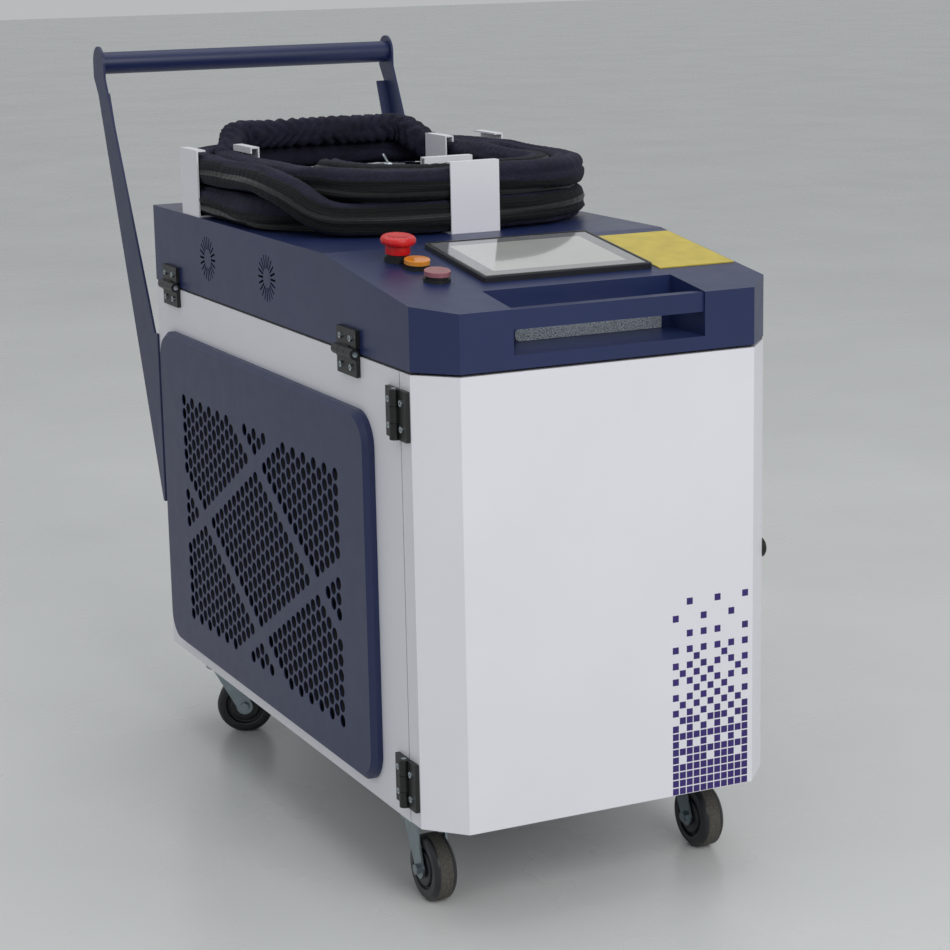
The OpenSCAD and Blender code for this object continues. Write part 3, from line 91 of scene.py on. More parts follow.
# Node materials
class Shader:
    """A material's node tree with short calls for the nodes used here."""

    def __init__(self, name):
        self.material = bpy.data.materials.new(name)
        self.material.use_nodes = True
        self.tree = self.material.node_tree
        self.shader = self.tree.nodes["Principled BSDF"]
        self.coordinates = self.node("ShaderNodeTexCoord").outputs["Object"]

    def node(self, kind, **values):
        made = self.tree.nodes.new(kind)
        for key, value in values.items():
            setattr(made, key, value)
        return made

    def link(self, source, target):
        self.tree.links.new(source, target)

    def noise(self, scale, detail=3.0, rough=0.55, vector=None):
        made = self.node("ShaderNodeTexNoise")
        made.inputs["Scale"].default_value = scale
        made.inputs["Detail"].default_value = detail
        made.inputs["Roughness"].default_value = rough
        self.link(vector or self.coordinates, made.inputs["Vector"])
        return made.outputs["Fac"]

    def stretched(self, scale):
        """The piece's own coordinates, scaled differently along each axis."""
        made = self.node("ShaderNodeMapping")
        made.inputs["Scale"].default_value = scale
        self.link(self.coordinates, made.inputs["Vector"])
        return made.outputs["Vector"]

    def ramp(self, value, low, high, first, last):
        made = self.node("ShaderNodeValToRGB")
        made.color_ramp.elements[0].position = low
        made.color_ramp.elements[1].position = high
        made.color_ramp.elements[0].color = first
        made.color_ramp.elements[1].color = last
        self.link(value, made.inputs["Fac"])
        return made.outputs["Color"]

    def math(self, operation, first, second=0.0):
        made = self.node("ShaderNodeMath", operation=operation)
        for socket, value in zip(made.inputs, (first, second)):
            if isinstance(value, (int, float)):
                socket.default_value = value
            else:
                self.link(value, socket)
        return made.outputs["Value"]

    def axes(self):
        """The piece's own x, y and z, in metres."""
        made = self.node("ShaderNodeSeparateXYZ")
        self.link(self.coordinates, made.inputs["Vector"])
        return made.outputs["X"], made.outputs["Y"], made.outputs["Z"]

    def from_middle(self, value, middle, times=1.0):
        """How far a coordinate is from a middle, times a factor."""
        away = self.math("SUBTRACT", value, middle)
        return away if times == 1.0 else self.math("MULTIPLY", away, times)

    def within(self, away, reach):
        """1 where a distance, either way, is less than the reach, else 0."""
        return self.math("LESS_THAN", self.math("ABSOLUTE", away), reach)

    def between(self, value, low, high):
        made = self.node("ShaderNodeMapRange")
        made.inputs["To Min"].default_value = low
        made.inputs["To Max"].default_value = high
        self.link(value, made.inputs["Value"])
        return made.outputs["Result"]

    def mix(self, factor, first, last):
        made = self.node("ShaderNodeMix", data_type="RGBA")
        sockets = {socket.identifier: socket for socket in list(made.inputs) + list(made.outputs)}
        self.link(factor, sockets["Factor_Float"])
        for socket, value in ((sockets["A_Color"], first), (sockets["B_Color"], last)):
            if isinstance(value, tuple):
                socket.default_value = value
            else:
                self.link(value, socket)
        return sockets["Result_Color"]

    def bump(self, height, strength, distance, under=None):
        """Roughens the surface by a height, over the normal that another bump gave."""
        made = self.node("ShaderNodeBump")
        made.inputs["Strength"].default_value = strength
        made.inputs["Distance"].default_value = distance
        self.link(height, made.inputs["Height"])
        if under is not None:
            self.link(under, made.inputs["Normal"])
        self.link(made.outputs["Normal"], self.shader.inputs["Normal"])
        return made.outputs["Normal"]

    def set(self, **values):
        for key, value in values.items():
            self.shader.inputs[key.replace("_", " ")].default_value = value

    def colour(self, source):
        self.link(source, self.shader.inputs["Base Color"])

    def roughness(self, source):
        self.link(source, self.shader.inputs["Roughness"])


def linear(value):
    """Linear strength of a display value of 0 to 255, by the sRGB curve."""
    return (value / 255) / 12.92 if value < 10.3 else ((value / 255 + 0.055) / 1.055) ** 2.4


def rgb(red, green, blue):
    """A colour given by its display values of 0 to 255."""
    return linear(red), linear(green), linear(blue), 1


def middle_of(node):
    low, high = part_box(node)
    return (low.x + high.x) / 2, (low.y + high.y) / 2


def shade(colour, factor):
    return tuple(c * factor for c in colour[:3]) + (1,)


def powder_coat(name, colour, rough=0.42, grain=900, depth=0.25, variation=0.06):
    """Powder-coated sheet: fine orange peel, cloudy tone and smudged gloss."""
    s = Shader(name)
    cloud = s.noise(6, 4)
    s.colour(s.ramp(cloud, 0.3, 0.7, shade(colour, 1 - variation), shade(colour, 1 + variation)))
    s.roughness(s.between(s.noise(35, 5, 0.7), rough - 0.08, rough + 0.08))
    s.bump(s.noise(grain, 2), depth, 0.0002)
    s.set(Specular_IOR_Level=0.5)
    return s.material


def moulded(name, colour, rough=0.45, grain=2500, depth=0.2):
    s = Shader(name)
    s.colour(s.ramp(s.noise(40, 3), 0.3, 0.7, shade(colour, 0.9), shade(colour, 1.1)))
    s.roughness(s.between(s.noise(90, 4), rough - 0.07, rough + 0.07))
    s.bump(s.noise(grain, 2), depth, 0.0001)
    return s.material


def metal(name, colour, rough=0.3, streak=(40, 40, 400), depth=0.1):
    s = Shader(name)
    lines = s.noise(12, 5, 0.7, s.stretched(streak))
    s.colour(s.ramp(s.noise(60, 4), 0.3, 0.75, shade(colour, 0.8), colour))
    s.roughness(s.between(lines, rough - 0.1, rough + 0.14))
    s.bump(lines, depth, 0.0001)
    s.set(Metallic=1.0)
    return s.material


CAP_RIM = 1.2 * MM


def clear_cap(name, colour, glow, node, rim):
    """Tinted translucent cap of a lit push button, with a clear rim round its tinted lens."""
    s = Shader(name)
    low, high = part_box(node)
    squares = [s.math("POWER", s.math("ABSOLUTE", s.from_middle(axis, middle)), 2.0)
               for axis, middle in zip(s.axes(), middle_of(node))]
    radius = s.math("SQRT", s.math("ADD", *squares))
    lens = s.ramp(s.noise(120, 2), 0.2, 0.8, shade(colour, 0.8), colour)
    s.colour(s.mix(s.math("GREATER_THAN", radius, (high.x - low.x) / 2 - CAP_RIM), lens, rim))
    s.set(Roughness=0.12, Coat_Weight=0.6, Coat_Roughness=0.05, Emission_Strength=glow, Emission_Color=colour)
    s.set(Subsurface_Weight=0.3, Subsurface_Radius=(0.004, 0.002, 0.001), Subsurface_Scale=0.5)
    s.bump(s.noise(900, 2), 0.05, 0.0001)
    return s.material


def fabric():
    """Napped cloth of the sleeve, with ribbed tapes along both sides of its zip."""
    s = Shader("sleeve_fabric")
    dark, light, thread = rgb(13, 13, 25), rgb(33, 32, 56), rgb(62, 61, 84)
    cloth = s.noise(30, 5, 0.65)
    fine = s.noise(1500, 3, 0.6)
    nap = s.mix(s.between(fine, 0, 0.5), s.ramp(cloth, 0.32, 0.72, dark, light), shade(dark, 0.6))
    flecks = s.between(s.noise(1100, 2, 0.7), -1.4, 1.6)
    nap = s.mix(s.math("MULTIPLY", s.math("MAXIMUM", flecks, 0.0), 0.8), nap, thread)
    side = s.node("ShaderNodeAttribute", attribute_name="zip_side").outputs["Fac"]
    side = s.math("ADD", side, s.between(s.noise(12, 3), -0.09, 0.09))
    ribs = s.between(s.math("SINE", s.math("MULTIPLY", side, 113.0)), 0.35, 0.65)
    ribbed = s.ramp(ribs, 0.15, 0.85, rgb(7, 8, 9), rgb(32, 33, 33))
    on_tape = s.math("LESS_THAN", side, 0.26)
    s.colour(s.mix(on_tape, nap, ribbed))
    s.roughness(s.between(fine, 0.72, 0.95))
    s.set(Sheen_Weight=0.12, Sheen_Roughness=0.5, Sheen_Tint=rgb(90, 95, 130), Specular_IOR_Level=0.25)
    first = s.bump(s.noise(110, 5, 0.65), 0.8, 0.0026)
    second = s.bump(s.math("MULTIPLY", ribs, on_tape), 0.7, 0.0012, first)
    s.bump(fine, 0.6, 0.0004, second)
    return s.material


def speckled():
    """Coarse foam with pale and dark grains."""
    s = Shader("strip_foam")
    grains = s.noise(900, 2, 0.8)
    s.colour(s.ramp(grains, 0.42, 0.58, rgb(74, 82, 92), rgb(206, 214, 222)))
    s.roughness(s.between(grains, 0.7, 0.95))
    s.bump(grains, 0.7, 0.0006)
    return s.material


DISPLAY_HALF = (82 * MM, 56 * MM)


def glass_panel():
    """Cover glass over a dark printed border round the display, coloured with painted grey reflection that is
    lighter over the display.
    """
    s = Shader("display_glass")
    sides = [s.within(s.from_middle(axis, middle), half)
             for axis, middle, half in zip(s.axes(), middle_of("screen_glass"), DISPLAY_HALF)]
    display = s.math("MULTIPLY", *sides)
    # Painted reflection: light grey over the display, and mid grey over the printed border round it
    lit = s.ramp(s.noise(9, 2), 0.3, 0.7, rgb(186, 187, 184), rgb(200, 201, 197))
    border = s.ramp(s.noise(20, 3), 0.3, 0.7, rgb(122, 124, 127), rgb(138, 140, 143))
    s.colour(s.mix(display, border, lit))
    s.set(Roughness=0.09, Coat_Weight=1.0, Coat_Roughness=0.03, Specular_IOR_Level=0.8)
    s.bump(s.noise(14, 1), 0.02, 0.0002)
    return s.material


def rubber(name, colour, rough=0.62):
    s = Shader(name)
    s.colour(s.ramp(s.noise(70, 5, 0.7), 0.3, 0.75, shade(colour, 0.75), shade(colour, 1.5)))
    s.roughness(s.between(s.noise(200, 4), rough - 0.12, rough + 0.15))
    s.bump(s.noise(700, 3), 0.3, 0.0003)
    return s.material


TREAD_HALF = 7.5 * MM
TREAD_WANDER = 1 * MM
TYRE_ROUND = 4.5 * MM


def tyre(node, swing):
    """Moulded tyre: a worn, dusty tread round darker, glossier sides; swing is the caster's turn."""
    s = Shader(node + "_rubber")
    turned = [s.from_middle(axis, middle, share)
              for axis, middle, share in zip(s.axes(), middle_of(node), (math.cos(swing), math.sin(swing)))]
    along = s.math("ABSOLUTE", s.math("ADD", *turned))
    wander = s.between(s.noise(90, 4), -TREAD_WANDER, TREAD_WANDER)
    worn = s.math("LESS_THAN", s.math("ADD", along, wander), TREAD_HALF)
    grit = s.noise(420, 4, 0.75)
    side = s.ramp(s.noise(60, 4), 0.3, 0.7, rgb(20, 20, 24), rgb(32, 32, 38))
    s.colour(s.mix(worn, side, s.ramp(grit, 0.3, 0.75, rgb(50, 49, 46), rgb(96, 92, 84))))
    s.roughness(s.math("ADD", s.math("MULTIPLY", worn, 0.4), s.between(grit, 0.28, 0.42)))
    rounding = s.node("ShaderNodeBevel", samples=8)
    rounding.inputs["Radius"].default_value = TYRE_ROUND
    s.bump(grit, 0.2, 0.0003, rounding.outputs["Normal"])
    return s.material


WHITE = powder_coat("white_coat", rgb(227, 227, 234), rough=0.38, variation=0.02)
NAVY = powder_coat("navy_coat", rgb(28, 41, 84), rough=0.34, depth=0.35)
VIOLET = powder_coat("grille_coat", rgb(27, 38, 80), rough=0.38, depth=0.35)
BLACK_COAT = powder_coat("black_coat", rgb(15, 15, 17), rough=0.4)
GALVANISED = metal("galvanised_sheet", rgb(176, 178, 182), rough=0.42, streak=(30, 30, 30))
ZINC = metal("bright_zinc", rgb(190, 200, 206), rough=0.24)
FORK_ZINC = metal("blue_zinc", rgb(150, 163, 170), rough=0.3, streak=(30, 30, 90))
ALUMINIUM = metal("cast_aluminium", rgb(170, 172, 176), rough=0.38, streak=(60, 60, 60))
BLACK_PLASTIC = moulded("black_plastic", rgb(30, 30, 32))
GLOSS_BLACK = moulded("bezel_plastic", rgb(34, 36, 40), rough=0.3)
WHITE_PLASTIC = moulded("tank_plastic", rgb(222, 226, 228))
YELLOW = moulded("notice_yellow", rgb(198, 178, 66), rough=0.4)
RED = moulded("stop_red", rgb(204, 24, 28), rough=0.26, grain=1200, depth=0.05)
ORANGE_CAP = clear_cap("orange_cap", rgb(228, 138, 22), 0.05, "orange_button", rgb(214, 140, 52))
RED_CAP = clear_cap("red_cap", rgb(140, 24, 32), 0.02, "red_button", rgb(158, 104, 112))
BOARD = moulded("board_green", rgb(24, 96, 52), rough=0.35)
FOAM = rubber("filter_foam", rgb(10, 10, 13), 0.95)
SEAL = rubber("seal_rubber", rgb(26, 26, 28))
SLEEVE = fabric()
SPECKLED = speckled()
GLASS = glass_panel()

LOOKS = {
    "white_paint": WHITE, "navy_paint": NAVY, "violet_paint": VIOLET, "sheet_steel": GALVANISED, "zinc": ZINC,
    "black_metal": BLACK_COAT, "black_plastic": BLACK_PLASTIC, "gloss_black": GLOSS_BLACK, "screen": GLASS,
    "yellow_plate": YELLOW, "red_plastic": RED, "orange_plastic": ORANGE_CAP, "foam": FOAM, "sleeve": SLEEVE,
    "rubber": SEAL, "aluminium": ALUMINIUM, "white_plastic": WHITE_PLASTIC, "board": BOARD,
}

# Degrees that each wheel stands turned from straight ahead
WHEEL_SWINGS = {"caster_wheel_front_left": 0, "caster_wheel_front_right": 0,
                "caster_wheel_rear_left": 64, "caster_wheel_rear_right": 20}
FORKS = [name.replace("wheel", "fork") for name in WHEEL_SWINGS]


def dress_nodes():
    """Gives every carried-over node its material: its own, or else the one of its slot in the record."""
    own = {"red_button": RED_CAP}
    own.update((name, FORK_ZINC) for name in FORKS)
    own.update((name, tyre(name, math.radians(swing))) for name, swing in WHEEL_SWINGS.items())
    slots = {p["node"]: p["material_slot"] for p in frame["record"]["subparts"]}
    for name, item in nodes.items():
        item.data.materials.clear()
        item.data.materials.append(own[name] if name in own else LOOKS[slots[name]])


SHARP_ANGLE = math.radians(35)


def soften(names, width, segments=2):
    """Rounds a node's sharp edges a little, so that they catch the light."""
    for name in names:
        edge = nodes[name].modifiers.new("edge", "BEVEL")
        edge.width = width
        edge.segments = segments
        edge.limit_method = "ANGLE"
        edge.angle_limit = SHARP_ANGLE
        edge.harden_normals = False


dress_nodes()
soften(["stop_head"], 0.6 * MM)
soften(["orange_button", "red_button"], 0.4 * MM)
soften(["screen_bezel", "pull_bar", "hose_holders", "left_handle_arm", "right_handle_arm"], 0.5 * MM)
soften(["front_door", "left_side_panel", "right_side_panel"], 0.6 * MM)
soften(["lid_cover"], 1.1 * MM, 3)
soften(FORKS, 0.5 * MM)
soften(["fixed_hinge_leaves", "door_hinge_leaves", "lid_hinge_leaves"], 0.8 * MM)


# Hose route: the same rule as the solid's, two layers of two loops with both ends in the well
HOSE_D = 36.5
DECK = (LID_TOP - LID_Z) / MM
HOLDER_T, SEAT, HEAD_AXIS = 2, 0.3, 25
LAYER_Z = DECK + HOLDER_T + SEAT + HOSE_D / 2
HEAD_RISE = HEAD_AXIS + SEAT + DECK - LAYER_Z
PITCH = 38
LOOP_X, LOOP_FRONT, LOOP_REAR, R_FRONT, R_REAR = 193, 367, 834, 132, 110
LOOP_STEPS = 24
LEAD_IN = [(-20, 538, 0), (-45, 538, 0), (-72, 538, 0), (-100, 545, 0), (-126, 561, 0), (-145, 587, 0),
           (-154, 615, 0), (-155, 640, 0)]
LEAD_OUT = [(-25, 405, 38), (-55, 412, 39), (-79, 428, 39), (-97, 453, 40), (-105, 480, 41), (-104, 508, 41),
            (-97, 535, 40), (-85, 558, 36), (-66, 580, 23), (-36, 609, HEAD_RISE), (-10, 635, HEAD_RISE)]
FIRST_RING, LAST_RING = 6, 95

# Steps along the loops: where each change begins, and over how many steps it goes on
WIDEN_AT, WIDEN_OVER = 26.9, 1.55              # from the lower layer's inner loop to its outer one
CLIMB_AT, CLIMB_OVER = 49.65, 2.05             # to the upper layer
HALFWAY = 40                                   # the loops widen before this step and narrow after it
NARROW_AT, NARROW_OVER = 72.5, 2               # back to the upper layer's inner loop
ARCH_FROM, ARCH_TO, ARCH_OVER = 79, 85, 2      # the arch behind, and how far it rises and leans
ARCH_RISE, ARCH_LEAN = 30, 14
GATHER_FROM, GATHER_OVER = 77, 3
GATHER_TO, RELEASE_OVER = 86, 4
LOOP_GATHER, LEAD_IN_GATHER, LEAD_OUT_GATHER = 0.12, 0.25, 0.2


def eased(value):
    """Goes smoothly from 0 to 1 while the value does."""
    v = min(1.0, max(0.0, value))
    return v * v * (3 - 2 * v)


def ring_point(k, inset):
    """Point k of a loop in plan, clockwise seen from above: four steps a corner and two a side."""
    q = k % LOOP_STEPS
    xf, xr = LOOP_X - R_FRONT, LOOP_X - R_REAR
    yf, yr = LOOP_FRONT + R_FRONT, LOOP_REAR - R_REAR
    rf, rr = R_FRONT - inset, R_REAR - inset
    turn = math.radians(22.5)
    if q <= 4:
        return -xf - rf * math.sin(q * turn), yf - rf * math.cos(q * turn)
    if q < 6:
        t = (q - 4) / 2
        return (1 - t) * (-xf - rf) + t * (-xr - rr), (1 - t) * yf + t * yr
    if q <= 10:
        a = (q - 6) * turn
        return -xr - rr * math.cos(a), yr + rr * math.sin(a)
    if q < 12:
        return -xr + (q - 10) * xr, yr + rr
    if q <= 16:
        a = (q - 12) * turn
        return xr + rr * math.sin(a), yr + rr * math.cos(a)
    if q < 18:
        t = (q - 16) / 2
        return (1 - t) * (xr + rr) + t * (xf + rf), (1 - t) * yr + t * yf
    if q <= 22:
        a = (q - 18) * turn
        return xf + rf * math.cos(a), yf - rf * math.sin(a)
    return xf - (q - 22) * xf, yf - rf


def arch(k):
    return eased((k - ARCH_FROM) / ARCH_OVER) * (1 - eased((k - ARCH_TO) / ARCH_OVER))


def gather_at(k):
    """How tightly the sleeve is gathered at step k of the loops, 0 to 1."""
    behind = eased((k - GATHER_FROM) / GATHER_OVER) * (1 - eased((k - GATHER_TO) / RELEASE_OVER))
    return LOOP_GATHER + (1 - LOOP_GATHER) * behind


def loop_point(k):
    inward = 1 - eased((k - WIDEN_AT) / WIDEN_OVER) if k < HALFWAY else eased((k - NARROW_AT) / NARROW_OVER)
    x, y = ring_point(k, PITCH * inward - ARCH_LEAN * max(0.0, arch(k) * 2 - 1))
    return x, y, LAYER_Z + PITCH * eased((k - CLIMB_AT) / CLIMB_OVER) + ARCH_RISE * arch(k)


def hose_points():
    """The route's points, and how tightly the sleeve is gathered at each."""
    points = [(x, y, z + LAYER_Z) for x, y, z in LEAD_IN]
    steps = range(FIRST_RING, LAST_RING + 1)
    points += [loop_point(k) for k in steps]
    points += [(x, y, z + LAYER_Z) for x, y, z in LEAD_OUT]
    gathers = [LEAD_IN_GATHER] * len(LEAD_IN)
    gathers += [gather_at(k) for k in steps]
    gathers += [LEAD_OUT_GATHER] * len(LEAD_OUT)
    return [place(*p) for p in points], gathers


def spline(points, values, step):
    """Even points, about a step apart, along a smooth curve through all the points."""
    fine, carried = [], []
    for i in range(len(points) - 1):
        p0, p1 = points[max(i - 1, 0)], points[i]
        p2, p3 = points[i + 1], points[min(i + 2, len(points) - 1)]
        span = (p2 - p1).length
        before = (p1 - p0).normalized() if i else (p2 - p1).normalized()
        after = (p3 - p2).normalized() if i + 2 < len(points) else (p2 - p1).normalized()
        m1 = (before + (p2 - p1).normalized()).normalized() * span
        m2 = (after + (p2 - p1).normalized()).normalized() * span
        count = max(2, round(span / step))
        for j in range(count):
            t = j / count
            fine.append(p1 * (2 * t**3 - 3 * t**2 + 1) + m1 * (t**3 - 2 * t**2 + t)
                        + p2 * (-2 * t**3 + 3 * t**2) + m2 * (t**3 - t**2))
            carried.append(values[i] * (1 - t) + values[i + 1] * t)
    return fine + [points[-1]], carried + [values[-1]]


def frames_along(path):
    """Heading, sideways and upward directions at each point of a path."""
    made = []
    for i, p in enumerate(path):
        ahead = (path[min(i + 1, len(path) - 1)] - path[max(i - 1, 0)]).normalized()
        side = ahead.cross(Vector((0, 0, 1))).normalized()
        made.append((ahead, side, side.cross(ahead)))
    return made


def mesh_object(name, vertices, faces, material, body, smooth=True):
    """A new piece of the scene, on a body and in a material slot."""
    data = bpy.data.meshes.new(name)
    data.from_pydata(vertices, [], faces)
    data.materials.append(material)
    made = bpy.data.objects.new(name, data)
    bpy.context.scene.collection.objects.link(made)
    for polygon in data.polygons:
        polygon.use_smooth = smooth
    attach(made, body)
    return made


# Zipped sleeve over the hose: gathered behind, with long folds elsewhere
SLEEVE_SIDES = 40
SLEEVE_STEP = 3.4 * MM
SLEEVE_R = HOSE_D / 2 * MM
SQUASH = 2.9             # 2 for a round sleeve, more where its neighbours square it
CLOTH_OUT, CLOTH_IN = 0.8, 0.2
PLEAT_PITCH = 15 * MM
PLEAT_DEPTH, FOLD_DEPTH, SAG_DEPTH, CRUMPLE_DEPTH = 6.5, 3.6, 1.8, 1.1
FOLDS = 4
END_L, END_TAPER = 20 * MM, 0.06

# Loose cloth that bulges: where, how far along, at which angle round the hose, and by how much. The angle
# is 0 toward the inside of the coil and 90 upward.
SWELLS = [((188, 622, 157.6), 46, 62, 4.4), ((186, 440, 119.6), 80, 186, 5.5), ((60, 372, 157.6), 60, 100, 3),
          ((-150, 420, 138), 50, 120, 3), ((-20, 722, 187), 90, 80, 4)]


def swell(spot, angle):
    """How far the cloth bulges at a place and an angle round the hose."""
    total = 0.0
    for centre, reach, turn, height in SWELLS:
        near = math.exp(-((spot - place(*centre)).length / (reach * MM)) ** 2)
        total += height * MM * near * max(0.0, math.cos(angle - math.radians(turn))) ** 1.5
    return total


def sleeve_radius(s, angle, gather, along_end, spot):
    """Radius of the cloth at a place along and round the hose."""
    x, y = math.cos(angle), math.sin(angle)

    def wave(along, shift, round_it):
        return noise.noise(Vector((s * along + shift, x * round_it, y * round_it)))

    pleat_phase = s / PLEAT_PITCH * 2 * math.pi + wave(14, 0, 0.9) * 7.5 + math.sin(angle * 2 + s * 21) * 1.2
    pleat = (0.5 + 0.5 * math.sin(pleat_phase)) ** 0.6
    uneven = 0.75 + 0.75 * wave(23, 7, 1.3)
    fold = 0.5 + 0.5 * math.sin(angle * FOLDS + wave(3.1, 0, 1.1) * 6.5)
    smooth_depth = FOLD_DEPTH * (1 - fold) ** 1.8 + SAG_DEPTH * wave(6.5, 3, 0.8)
    depth = gather * PLEAT_DEPTH * uneven * (1 - pleat) + (1 - gather) * smooth_depth
    squashed = (abs(x) ** SQUASH + abs(y) ** SQUASH) ** (-1 / SQUASH)
    sunk = max(0.0, depth + CRUMPLE_DEPTH * wave(26, 0, 2.6) + CLOTH_IN)
    radius = SLEEVE_R * squashed + CLOTH_OUT * MM - sunk * MM
    return radius * (1 - END_TAPER * along_end) + swell(spot, angle)


def zip_angle(s):
    """Where the zip runs round the sleeve, in radians, at a place along it."""
    return math.radians(196) + 0.75 * math.sin(s * 2.1) + 0.3 * math.sin(s * 5.3 + 1)


def make_sleeve():
    """The zipped sleeve, which stands for the solid's plain coil and is the scene's cord."""
    points, gathers = hose_points()
    path, gathered = spline(points, gathers, SLEEVE_STEP)
    axes = frames_along(path)
    lengths = [0.0]
    for a, b in zip(path, path[1:]):
        lengths.append(lengths[-1] + (b - a).length)
    total = lengths[-1]
    vertices, faces, sides = [], [], []
    for i, (p, (ahead, side, up)) in enumerate(zip(path, axes)):
        end = max(0.0, 1 - min(lengths[i], total - lengths[i]) / END_L)
        for j in range(SLEEVE_SIDES):
            a = j / SLEEVE_SIDES * 2 * math.pi
            r = sleeve_radius(lengths[i], a, gathered[i], end, p)
            vertices.append(p + (side * math.cos(a) + up * math.sin(a)) * r)
            sides.append(abs(math.remainder(a - zip_angle(lengths[i]), 2 * math.pi)) / math.pi)
    for i in range(len(path) - 1):
        for j in range(SLEEVE_SIDES):
            a, b = i * SLEEVE_SIDES + j, i * SLEEVE_SIDES + (j + 1) % SLEEVE_SIDES
            faces.append((a, a + SLEEVE_SIDES, b + SLEEVE_SIDES, b))
    faces.append(tuple(range(SLEEVE_SIDES)))
    last = (len(path) - 1) * SLEEVE_SIDES
    faces.append(tuple(range(last + SLEEVE_SIDES - 1, last - 1, -1)))
    sleeve = mesh_object("hose_sleeve", vertices, faces, SLEEVE, "lid")
    sleeve.data.attributes.new("zip_side", "FLOAT", "POINT").data.foreach_set("value", sides)
    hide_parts("hose_coil")
    return path, axes, lengths, gathered


def zip_shader(name, colour):
    """Woven zip tape with its rows of stitches."""
    s = Shader(name)
    s.colour(s.ramp(s.noise(700, 3), 0.35, 0.7, shade(colour, 0.6), shade(colour, 1.5)))
    s.roughness(s.between(s.noise(400, 2), 0.6, 0.85))
    s.bump(s.noise(1400, 2), 0.5, 0.0003)
    s.set(Sheen_Weight=0.2, Specular_IOR_Level=0.35)
    return s.material


ZIP_TAPE = zip_shader("zip_tape", rgb(26, 27, 28))
ZIP_TEETH = moulded("zip_teeth", rgb(34, 35, 36), rough=0.5)
TAPE_HALF = 11           # degrees of the sleeve that half the zip covers
TAPE_RIBS = (-1.0, -0.62, -0.3, -0.1, 0.1, 0.3, 0.62, 1.0)
TAPE_LIFT = (-0.2, 0.35, 0.3, 0.9, 0.9, 0.3, 0.35, -0.2)
TEETH_STRIP = 3          # the strip between two ribs that the teeth fill


def make_zip(path, axes, lengths, gathered):
    """A zip that follows the sleeve and slowly winds about it."""
    vertices, faces, materials = [], [], []
    count = len(TAPE_RIBS)
    for i, (p, (ahead, side, up)) in enumerate(zip(path, axes)):
        s = lengths[i]
        centre = zip_angle(s)
        for rib, lift in zip(TAPE_RIBS, TAPE_LIFT):
            a = centre + math.radians(TAPE_HALF) * rib
            r = sleeve_radius(s, a, gathered[i], 0, p) + lift * MM
            vertices.append(p + (side * math.cos(a) + up * math.sin(a)) * r)
    for i in range(len(path) - 1):
        for j in range(count - 1):
            a = i * count + j
            faces.append((a, a + count, a + count + 1, a + 1))
            materials.append(1 if j == TEETH_STRIP else 0)
    tape = mesh_object("sleeve_zip", vertices, faces, ZIP_TAPE, "lid")
    tape.data.materials.append(ZIP_TEETH)
    for polygon, index in zip(tape.data.polygons, materials):
        polygon.material_index = index


def stadium(length, width, count):
    """Points of a rounded slot's outline, round its middle."""
    r = width / 2
    points = []
    for i in range(count):
        a = 2 * math.pi * i / count
        shift = (length / 2 - r) * (1 if math.cos(a) >= 0 else -1)
        points.append((r * math.cos(a) + shift, r * math.sin(a)))
    return points


PULL_SPOT, PULL_HEADING = (-68, 420, 176.2), (-24, 16)
SLIDER_L, SLIDER_W, SLIDER_T = 10, 7.5, 3.4
SLIDER_RINGS = ((0, 1), (0.7, 1), (1, 0.72))      # shares of its height, and of its length and width there
SLIDER_OUTLINE = ((-0.5, -0.34), (-0.5, 0.34), (-0.1, 0.5), (0.4, 0.5), (0.5, 0.3), (0.5, -0.3), (0.4, -0.5),
                  (-0.1, -0.5))
TAB_L, TAB_W, TAB_T, TAB_HOLE_L, TAB_HOLE_W, TAB_LEAN = 14, 6.5, 1.3, 7, 3, 62
TAB_POINTS, TAB_SUNK, TAB_OVERLAP, PULL_EDGE = 20, 0.8, 1, 0.3


def make_zip_pull():
    """Slider of the sleeve's zip, tapered toward its tail, and its pull tab that stands up from it."""
    ahead = Vector((PULL_HEADING[0], PULL_HEADING[1], 0)).normalized()
    side, up = Vector((-ahead.y, ahead.x, 0)), Vector((0, 0, 1))
    spot = place(*PULL_SPOT)
    vertices, faces = [], []
    for height, spread in SLIDER_RINGS:
        for x, y in SLIDER_OUTLINE:
            flat = ahead * x * SLIDER_L * spread + side * y * SLIDER_W * spread
            vertices.append(spot + (flat + up * height * SLIDER_T) * MM)
    n = len(SLIDER_OUTLINE)
    for ring in (0, n):
        faces += [(ring + i, ring + (i + 1) % n, ring + n + (i + 1) % n, ring + n + i) for i in range(n)]
    faces += [tuple(range(n - 1, -1, -1)), tuple(range(2 * n, 3 * n))]
    lean = math.radians(TAB_LEAN)
    along = ahead * math.cos(lean) + up * math.sin(lean)
    through = up * math.cos(lean) - ahead * math.sin(lean)
    foot = spot + (up * (SLIDER_T - TAB_SUNK) + along * (TAB_L / 2 - TAB_OVERLAP)) * MM
    start, count = len(vertices), TAB_POINTS
    for lift in (-0.5, 0.5):
        for length, width in ((TAB_L, TAB_W), (TAB_HOLE_L, TAB_HOLE_W)):
            for x, y in stadium(length, width, count):
                vertices.append(foot + (along * x + side * y + through * lift * TAB_T) * MM)
    for i in range(count):
        j = (i + 1) % count
        low_out, low_in, high_out, high_in = (start + k * count for k in range(4))
        faces += [(low_out + i, low_in + i, low_in + j, low_out + j),
                  (high_out + i, high_out + j, high_in + j, high_in + i),
                  (low_out + i, low_out + j, high_out + j, high_out + i),
                  (low_in + i, high_in + i, high_in + j, low_in + j)]
    pull = mesh_object("zip_pull", vertices, faces, ZINC, "lid", smooth=False)
    edge = pull.modifiers.new("edge", "BEVEL")
    edge.width = PULL_EDGE * MM
    edge.segments = 2


sleeve_run = make_sleeve()
make_zip(*sleeve_run)
make_zip_pull()


